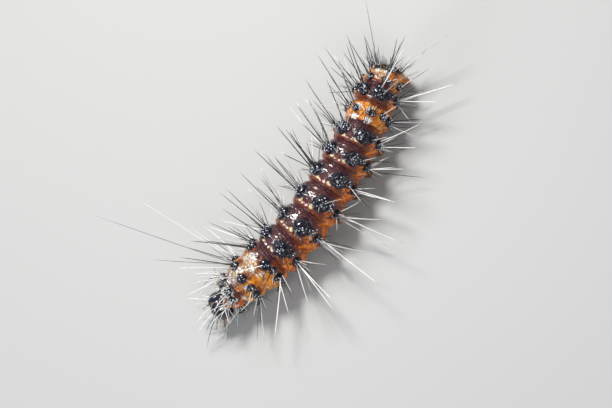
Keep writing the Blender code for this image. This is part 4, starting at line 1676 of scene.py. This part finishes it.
@dataclass
class Head:
    """The hard head with its eyes, feelers and mouth parts, in its own axes: +X out of the face.

    A feeler's joint is given by where it starts and ends along the feeler, and its radius at both ends.
    """

    plan: BodyPlan
    effects: Effects
    pitch: float = 20.0
    ahead: float = 0.9
    to_left: float = 0.6
    height: float = 2.3
    half: Triple = (1.2, 1.5, 1.45)
    sides: int = 120
    levels: int = 90
    mouth_level: float = -1.08
    mouth_edge: float = 0.07
    back_gap: float = 0.15
    eyes: int = 6
    eye_middle: Pair = (0.34, -0.36)
    eye_circle: float = 0.29
    first_eye: float = 200.0
    eye_step: float = -46.0
    lens_half: Triple = (0.115, 0.115, 0.1)
    feeler_joints: tuple[tuple[float, float, float, float], ...] = (
        (0.0, 0.42, 0.26, 0.2),
        (0.34, 0.82, 0.15, 0.12),
        (0.76, 1.04, 0.08, 0.06),
    )
    face_hairs: int = 22
    hair_lengths: Pair = (0.9, 3.0)
    hair_droop: Pair = (0.15, 0.6)
    pale_hairs: float = 0.75

    def matrix(self) -> Matrix:
        """From the head's own axes to the model's."""
        centre, forward, left, _ = self.plan.at(-self.ahead)
        centre = centre + left * self.to_left
        centre[2] = self.height
        turn = aligned(forward, left, (0, 0, 1))
        pitch = Matrix.Rotation(math.radians(self.pitch), 4, "Y")
        return Matrix.Translation(centre) @ turn @ pitch

    def build(self) -> None:
        """Builds every piece of the head."""
        self.build_capsule()
        self.build_eyes()
        self.build_lip()
        self.build_jaws()
        self.build_palps()
        self.build_feelers()

    def sutures(self, point: Vector) -> float:
        """How near a point of the unit head is to a suture of the face, from 0 to 1."""
        x, y, z = point
        if x < -0.2:
            return 0.0
        crown = hump(y, 0.035) if z > 0.28 else 0.0
        fork = 0.28 - abs(y) / 0.62
        arms = hump(z - fork, 0.05) if -0.62 < z < 0.34 else 0.0
        brow = hump(z + 0.6, 0.035) if abs(y) < 0.56 else 0.0
        return float(max(crown, arms, brow))

    def shaped(self, unit: Vector) -> Vector:
        """The capsule's point for a point of the unit sphere, in the head's own axes.

        Args:
            unit: the point of the sphere.

        Returns:
            The point in millimetres, dented at the seams and cut flat at the mouth.
        """
        x, y, z = unit
        cleft = math.exp(-((y / 0.24) ** 2)) * float(smooth(-0.4, 0.5, z))
        cheek = math.exp(-(((abs(y) - 0.75) / 0.3) ** 2) - ((z + 0.35) / 0.4) ** 2)
        share = 1 - 0.15 * cleft - 0.035 * self.sutures(unit) + 0.03 * cheek
        share += 0.012 * noise.noise(Vector(unit) * 4.0)
        point = Vector((x * share, y, z * share)) * Vector(self.half)
        above = (point.z - self.mouth_level) / self.mouth_edge
        if above < 30:
            point.z = self.mouth_level + self.mouth_edge * math.log1p(math.exp(above))
        back = Matrix.Rotation(math.radians(-self.pitch), 3, "Y") @ Vector((1, 0, 0))
        short = self.back_gap - self.ahead - point.dot(back)
        return point + back * max(short, 0.0)

    def build_capsule(self) -> None:
        """The two round lobes with the seams of the face."""
        shape = sphere(self.sides, self.levels)
        seams = [self.sutures(v.co) for v in shape.verts]
        frame_of_head = self.matrix()
        for vertex in shape.verts:
            vertex.co = frame_of_head @ self.shaped(vertex.co) * MM
        bmesh.ops.recalc_face_normals(shape, faces=shape.faces)
        finish = ShellFinish(
            self.effects, "head_shell", scale=1.6, roughness=(0.16, 0.34), bump=0.03, pebbles=5.0
        ).material()
        item = as_piece("head_capsule", shape, finish, ["head"])
        set_attribute(item.data, "seam", np.array(seams) * 0.55)

    def surface_point(self, x: float, z: float, side: int) -> tuple[Vector, Vector]:
        """A place on the side of the head and its outward direction, in the head's own axes.

        Args:
            x: how far forward it is.
            z: how far up it is.
            side: 1 for the left or -1 for the right.

        Returns:
            The point and its outward direction.
        """
        a, b, c = self.half
        reach = math.sqrt(max(0.0, 1 - (x / a) ** 2 - (z / c) ** 2))
        point = self.shaped(Vector((x / a, side * reach, z / c)))
        return point, Vector((x / a**2, side * reach / b, z / c**2)).normalized()

    def build_eyes(self) -> None:
        """Each side's six small lenses, in their open arc."""
        finish = ShellFinish(
            self.effects, "lens", Tone.UMBER, Tone.AMBER, 6.0, (0.03, 0.08), bump=0.0
        ).material()
        turns = [math.radians(self.first_eye + self.eye_step * number) for number in range(self.eyes)]
        size = Matrix.Diagonal((*self.lens_half, 1))
        for side, word in SIDES:
            shape = bmesh.new()
            for turn in turns:
                x = self.eye_middle[0] + self.eye_circle * math.cos(turn)
                z = self.eye_middle[1] + self.eye_circle * math.sin(turn)
                point, way = self.surface_point(x, z, side)
                rotation = way.to_track_quat("Z", "Y").to_matrix().to_4x4()
                spot = Matrix.Scale(MM, 4) @ (self.matrix() @ Matrix.Translation(point) @ rotation)
                place = spot @ size
                bmesh.ops.create_uvsphere(shape, u_segments=20, v_segments=12, radius=1, matrix=place)
            as_piece(f"lenses_{word}", shape, finish, [f"eyes_{word}"])

    def block(
        self, middle: Sequence[float], half: Sequence[float], form: Callable[[Vector], Vector]
    ) -> Shape:
        """A rounded block of the head, formed by a function of its unit points.

        Args:
            middle: its middle.
            half: its half sizes.
            form: gives the formed point for a point of the rounded unit block.

        Returns:
            The block's mesh, in its place.
        """
        shape = bmesh.new()
        bmesh.ops.create_cube(shape, size=2)
        bmesh.ops.subdivide_edges(shape, edges=shape.edges, cuts=7, use_grid_fill=True)
        place = self.matrix()
        for vertex in shape.verts:
            round_point = vertex.co.normalized() * 1.22
            unit = vertex.co.lerp(round_point, 0.62)
            local = form(unit)
            vertex.co = place @ (Vector(middle) + Vector(half) * local) * MM
        return shape

    def build_lip(self) -> None:
        """The upper lip, a notched plate that hangs from the face."""

        def form(p: Vector) -> Vector:
            """Notches the lower edge, and narrows the lip towards it."""
            notch = 0.45 * hump(p.y, 0.22) * float(smooth(0.2, -0.9, p.z))
            return Vector((p.x, p.y * (1 - 0.12 * max(-p.z, 0)), p.z + notch))

        finish = ShellFinish(self.effects, "lip_shell", Tone.UMBER, Tone.AMBER, 2.5, pebbles=9.0)
        shape = self.block((0.84, 0, -1.32), (0.12, 0.5, 0.34), form)
        as_piece("upper_lip", shape, finish.material(), ["labrum"])

    def build_jaws(self) -> None:
        """The two jaws, each a curved wedge with a toothed lower edge."""
        finish = ShellFinish(self.effects, "jaw_shell", Tone.JET, Tone.UMBER, 2.0, pebbles=7.0).material()
        for side, word in SIDES:

            def form(p: Vector, side: int = side) -> Vector:
                """Curves the jaw forward and inward, and cuts its teeth."""
                teeth = 0.1 * math.cos(p.y * 9) * float(smooth(0.2, -1.0, p.z))
                inward = -0.3 * side * max(-p.z, 0.0)
                across = p.y * (1 - 0.2 * max(-p.z, 0)) + inward
                return Vector((p.x + 0.25 * (1 - p.y * p.y), across, p.z + teeth))

            shape = self.block((0.42, side * 0.5, -1.36), (0.26, 0.42, 0.42), form)
            as_piece(f"jaw_{word}", shape, finish, [f"mandible_{word}"])

    def tapered(self, shape: Shape, start: Vector, end: Vector, radii: Sequence[float]) -> None:
        """Adds one rounded joint of a feeler or palp between two points of the head's own axes.

        Args:
            shape: the mesh that it joins.
            start: where it starts.
            end: where it ends.
            radii: its radius at both ends.
        """
        _, across, other = across_of(start, end)
        place = self.matrix()

        def form(share: float, flat: Vector) -> Vector:
            """Tapers the joint, and rounds its ends."""
            radius = mix(*radii, share) * (1 - abs(2 * share - 1) ** 6)
            return place @ (start.lerp(end, share) + (across * flat.x + other * flat.y) * radius)

        add_barrel(shape, 16, 10, form)

    def build_palps(self) -> None:
        """The lower lip with its spinning tube, and the palps beside it."""
        shape = bmesh.new()
        self.tapered(shape, Vector((0.2, 0, -1.0)), Vector((0.32, 0, -1.62)), (0.34, 0.2))
        self.tapered(shape, Vector((0.34, 0, -1.5)), Vector((0.52, 0, -1.95)), (0.1, 0.04))
        for side, _ in SIDES:
            base = Vector((0.1, side * 0.42, -1.0))
            knee = Vector((0.26, side * 0.5, -1.5))
            tip = Vector((0.46, side * 0.46, -1.86))
            self.tapered(shape, base, knee, (0.24, 0.17))
            self.tapered(shape, knee, tip, (0.14, 0.06))
        finish = ShellFinish(self.effects, "palp_skin", Tone.AMBER, Tone.PEACH, 2.5, (0.2, 0.4), 0.5)
        as_piece("palps", shape, finish.material())

    def build_feelers(self) -> None:
        """The two short feelers, each of three joints."""
        finish = ShellFinish(
            self.effects, "feeler_skin", Tone.AMBER, Tone.CREAM, 2.5, (0.2, 0.4), 0.5
        ).material()
        for side, word in SIDES:
            mirror = Vector((1, side, 1))
            way = Vector((0.75, 0.55 * side, -0.35)).normalized()
            root = Vector((0.74, 0.8, -0.76)) * mirror
            shape = bmesh.new()
            for near, far, *radii in self.feeler_joints:
                self.tapered(shape, root + way * near, root + way * far, radii)
            as_piece(f"feeler_{word}", shape, finish, [f"antenna_{word}"])

    def hairs(self, chance: np.random.Generator) -> list[tuple[Bristle, bool]]:
        """The pale, curved hairs of the face and brow, which point forward and down."""
        found = []
        place = self.matrix()
        turn = np.array(place.to_3x3())
        for side, _ in SIDES:
            for number in range(self.face_hairs):
                z = mix(-0.85, 0.95, (number + 0.5) / self.face_hairs)
                reach = math.sqrt(1 - z * z)
                turn_out = mix(0.12, 1.25, (number * GOLDEN_SHARE) % 1)
                unit = Vector((reach * math.cos(turn_out), side * reach * math.sin(turn_out), z))
                root = np.array(place @ self.shaped(unit))
                way = turn @ np.array(unit) + turn @ np.array((0.5, 0, -0.1)) + chance.normal(0, 0.12, 3)
                way = normed(way)
                length = chance.uniform(*self.hair_lengths)
                droop = np.array((0, 0, -chance.uniform(*self.hair_droop)))
                bend = droop + chance.normal(0, 0.06, 3)
                angle = side * 30.0 + 5 * number
                radius = 0.028 + 0.005 * length
                tint = float(chance.random())
                hair = Bristle(root - way * 0.03, way, length, radius, bend, 0.0, angle, tint)
                found.append((hair, bool(chance.random() < self.pale_hairs)))
        return found


@dataclass(frozen=True)
class Joint:
    """The middle of a walking leg's joint: how far out and ahead of the hip, its height and its radius."""

    out: float
    ahead: float
    height: float
    radius: float


@dataclass
class WalkingLegs:
    """The six jointed true legs, each of four hard joints and a claw."""

    plan: BodyPlan
    effects: Effects
    spreads: tuple[float, ...] = (0.72, 0.92, 1.0)
    places: tuple[float, ...] = (0.5, 0.45, 0.45)
    joints: tuple[Joint, ...] = (
        Joint(-0.12, -0.06, 1.5, 0.46),
        Joint(0.12, 0.06, 0.98, 0.36),
        Joint(0.36, 0.14, 0.62, 0.29),
        Joint(0.5, 0.38, 0.3, 0.22),
        Joint(0.5, 0.62, 0.12, 0.14),
    )
    sides: int = 20
    levels: int = 14

    def build(self) -> None:
        """Builds the legs, one piece each."""
        finish = ShellFinish(self.effects, "leg_shell", Tone.JET, Tone.UMBER, 2.4).material()
        for side, word in SIDES:
            for pair, spread in enumerate(self.spreads):
                station = self.plan.station(pair, self.places[pair])
                top, out, forward = self.plan.hip(station, spread, side)
                spots = [self.spot(top, out, forward, joint) for joint in self.joints]
                radii = [joint.radius for joint in self.joints]
                shape = bmesh.new()
                for start, end, *ends in zip(spots, spots[1:], radii, radii[1:]):
                    self.segment(shape, start, end, ends)
                self.claw(shape, spots[-1], forward)
                name = f"{pair + 1}_{word}"
                as_piece(f"walking_leg_{name}", shape, finish, [f"leg_{name}"])

    def spot(self, top: Array, out: Array, forward: Array, joint: Joint) -> Vector:
        """The middle of one joint."""
        point = top + out * joint.out + forward * joint.ahead
        point[2] = joint.height
        return Vector(point)

    def segment(self, shape: Shape, start: Vector, end: Vector, radii: Sequence[float]) -> None:
        """Adds one joint: a swollen, tapering barrel with a collar at its far end.

        Args:
            shape: the mesh that it joins.
            start: where it starts.
            end: where the next one starts.
            radii: its radius at both ends.
        """
        axis, across, other = across_of(start, end)
        reach = (end - start).length + radii[1] * 0.5

        def form(share: float, flat: Vector) -> Vector:
            """Swells the barrel, and draws it in at the collar."""
            barrel = mix(radii[0], radii[1] * 1.06, share) * (1 - abs(2 * share - 1) ** 5)
            barrel *= 1 - 0.1 * hump(share - 0.82, 0.06)
            point = start + axis * (share * reach) + (across * flat.x + other * flat.y) * barrel
            return Vector((point.x, point.y, max(point.z, 0.03)))

        add_barrel(shape, self.sides, self.levels, form)

    def claw(self, shape: Shape, start: Vector, forward: Array) -> None:
        """Adds the curved claw, its tip on the floor."""
        ahead = Vector(forward)
        up = Vector((0, 0, 1))
        side = ahead.cross(up)

        def form(share: float, flat: Vector) -> Vector:
            """Curves the claw forward and down to a point."""
            line = start + ahead * (0.3 * math.sin(share * 1.7)) - up * 0.1 * share**2
            point = line + (side * flat.x + up * flat.y) * (0.1 * (1 - share) ** 0.7)
            return Vector((point.x, point.y, max(point.z, 0.02)))

        add_barrel(shape, 10, 12, form)


@dataclass
class SmallParts:
    """The breathing holes along the flanks and the hooks of the belly legs' feet."""

    plan: BodyPlan
    effects: Effects
    hole_angle: float = 74.0
    hole_along: float = 0.34
    hole_rings: tuple[int, ...] = (0, *range(3, 11))
    hole_radius: float = 0.13
    rim_thickness: float = 0.045
    hooks: int = 14
    hook_arc: Pair = (100, 260)
    hook_circle: float = 0.4
    hook_length: float = 0.16
    hook_radius: float = 0.03
    hook_levels: Pair = (0.07, 0.015)

    def build(self) -> None:
        """Builds the rings of the breathing holes and the hooks."""
        self.build_holes()
        self.build_hooks()

    def ring(self, shape: Shape, place: Matrix, radius: float, thickness: float) -> None:
        """Adds a small closed ring by turning a circle round the place's Z axis.

        Args:
            shape: the mesh that it joins.
            place: the ring's middle and turn.
            radius: its radius.
            thickness: the radius of its rim.
        """
        found = bmesh.ops.create_circle(shape, segments=8, radius=thickness, cap_ends=False)
        verts = found["verts"]
        turn = Matrix.Translation((radius, 0, 0)) @ Matrix.Rotation(math.radians(90), 4, "X")
        bmesh.ops.transform(shape, matrix=turn, verts=verts)
        edges = list({e for v in verts for e in v.link_edges})
        bmesh.ops.spin(
            shape,
            geom=verts + edges,
            cent=(0, 0, 0),
            axis=(0, 0, 1),
            dvec=(0, 0, 0),
            angle=math.tau,
            steps=18,
            use_merge=True,
            use_duplicate=False,
        )
        fresh = [v for v in shape.verts if not v.tag]
        for vertex in fresh:
            vertex.co = place @ vertex.co * MM
            vertex.tag = True

    def build_holes(self) -> None:
        """The dark oval rims of the holes, on the first ring and the first eight of the abdomen."""
        shape = bmesh.new()
        for index in self.hole_rings:
            station = self.plan.station(index, self.hole_along)
            for side, _ in SIDES:
                centre, forward, _, outward = self.plan.at(station, side * self.hole_angle)
                point = centre + outward * (float(self.plan.radius(station)) - 0.03)
                around = np.cross(outward, forward)
                turn = aligned(forward * 0.75, around, outward)
                place = Matrix.Translation(point) @ turn
                self.ring(shape, place, self.hole_radius, self.rim_thickness)
        bmesh.ops.recalc_face_normals(shape, faces=shape.faces)
        finish = ShellFinish(self.effects, "hole_rim", Tone.JET, Tone.UMBER, 4.0).material()
        as_piece("breathing_holes", shape, finish)

    def build_hooks(self) -> None:
        """The curved row of small hooks along the inner edge of each belly foot."""
        stamp = Stamp(spike(5))
        copies = []
        for _, top, out, forward in self.plan.belly_legs():
            foot = top + out * 0.12
            for number in range(self.hooks):
                turn = math.radians(mix(*self.hook_arc, number / (self.hooks - 1)))
                way = out * math.cos(turn) + forward * math.sin(turn)
                root = foot + way * self.hook_circle
                tip = root + way * self.hook_length
                root[2], tip[2] = self.hook_levels
                line = root + (tip - root) * stamp.points[:, 2:]
                side = np.cross(way, (0, 0, 1))
                ring = side * stamp.points[:, :1] + np.array((0, 0, 1)) * stamp.points[:, 1:2]
                copies.append(line + ring * self.hook_radius)
        mesh = stamp.mesh("foot_hooks", np.stack(copies) * MM)
        finish = ShellFinish(self.effects, "hook_shell", Tone.UMBER, Tone.AMBER, 4.0).material()
        as_piece("foot_hooks", mesh, finish)


@dataclass(frozen=True)
class SoftBox:
    """A square light that points at the model: its place and size in metres, its power and its colour."""

    name: str
    place: Triple
    size: float
    power: float
    colour: Triple


SOFT_BOXES = (
    SoftBox("key", (-0.04, -0.07, 0.16), 0.04, 0.4, (1.0, 0.98, 0.95)),
    SoftBox("fill", (0.04, 0.16, 0.14), 0.06, 0.17, (0.95, 0.97, 1.0)),
    SoftBox("rim", (0.18, -0.02, 0.08), 0.05, 0.12, (1.0, 1.0, 1.0)),
)


@dataclass
class Studio:
    """The floor, the lights and the camera at the photograph's angle."""

    elevation: float = 58.0
    roll: float = 52.5
    width_shown: float = 61.2
    lens: float = 200.0
    sensor: float = 36.0
    aim: Triple = (2.731, -1.001, 3.0)
    floor_size: float = 2.0
    surround: tuple[float, float, float, float] = (0.9, 0.93, 1.0, 1.0)
    surround_strength: float = 0.1

    def build(self) -> None:
        """Builds the floor, the lights and the camera."""
        self.build_floor()
        self.build_lights()
        self.build_camera()

    def build_floor(self) -> None:
        """A large plane, level with the feet."""
        shape = bmesh.new()
        bmesh.ops.create_grid(shape, x_segments=4, y_segments=4, size=self.floor_size / 2)
        mesh = new_mesh("floor", shape)
        mesh.materials.append(floor_material())
        floor = new_object("floor", mesh)

    def axes(self) -> tuple[Vector, Vector, Vector]:
        """The camera's right, up and backward directions."""
        tilt, roll = math.radians(self.elevation), math.radians(self.roll)
        level = Vector((-1, 0, 0))
        steep = Vector((0, -math.sin(tilt), math.cos(tilt)))
        back = Vector((0, math.cos(tilt), math.sin(tilt)))
        right = level * math.cos(roll) - steep * math.sin(roll)
        up = level * math.sin(roll) + steep * math.cos(roll)
        return right, up, back

    def build_camera(self) -> None:
        """A long lens that looks down at the larva's left side."""
        right, up, back = self.axes()
        data = bpy.data.cameras.new("camera")
        data.lens = self.lens
        data.sensor_width = self.sensor
        away = self.width_shown * MM * self.lens / self.sensor
        data.clip_start = away * 0.1
        data.clip_end = away * 20
        camera = new_object("camera", data)
        place = Matrix.Translation(Vector(self.aim) * MM + back * away)
        camera.matrix_world = place @ aligned(right, up, back)
        bpy.context.scene.camera = camera

    def build_lights(self) -> None:
        """Soft boxes above, behind and in front, and a pale surround."""
        for box in SOFT_BOXES:
            data = bpy.data.lights.new(box.name, "AREA")
            data.size = box.size
            data.energy = box.power
            data.color = box.colour
            light = new_object(box.name, data)
            light.location = box.place
            light.rotation_euler = (-Vector(box.place)).to_track_quat("-Z", "Y").to_euler()
        world = bpy.data.worlds.new("studio")
        world.use_nodes = True
        backdrop = world.node_tree.nodes["Background"].inputs
        backdrop["Color"].default_value = self.surround
        backdrop["Strength"].default_value = self.surround_strength
        bpy.context.scene.world = world


def build_coat(skin: Skin, effects: Effects, head: Head) -> None:
    """Plans every bristle, and builds the warts and the two coats.

    Args:
        skin: the skin that the grains sit on.
        effects: the shared node groups.
        head: the head that carries the face's hairs.
    """
    plan = skin.plan
    chance = np.random.default_rng(SEED)
    tufts = Tufts(plan, chance)
    grown = [(wart, tufts.grow(wart)) for wart in plan.warts()]
    grains = Granules(skin, chance).scattered()
    Warts(plan, effects).build(grown, grains)
    bristles = [pair for _, tuft in grown for pair in tuft] + head.hairs(chance)
    bristles += [(hair, number % 4 == 0) for number, hair in enumerate(grains)]
    coat = Coat(plan)
    dark = BristleFinish("dark_bristle", Tone.JET, Tone.SLATE)
    # The silvery coat: partly pale bristles, partly painted glint of the light on glossy ones.
    pale = BristleFinish("silver_bristle", Tone.SILVER, Tone.SILVER)
    coat.build("dark_bristles", [b for b, silver in bristles if not silver], dark.material())
    coat.build("silver_bristles", [b for b, silver in bristles if silver], pale.material())


def main() -> None:
    """Builds the model's pieces and the studio."""
    logging.basicConfig(level=logging.INFO, format="%(name)s: %(message)s")
    plan = BodyPlan()
    effects = Effects()
    skin = Skin(plan, effects)
    skin.build()
    head = Head(plan, effects)
    head.build()
    WalkingLegs(plan, effects).build()
    SmallParts(plan, effects).build()
    build_coat(skin, effects, head)
    Studio().build()
    bpy.context.scene.view_settings.view_transform = "Standard"


if __name__ == "__main__":
    main()
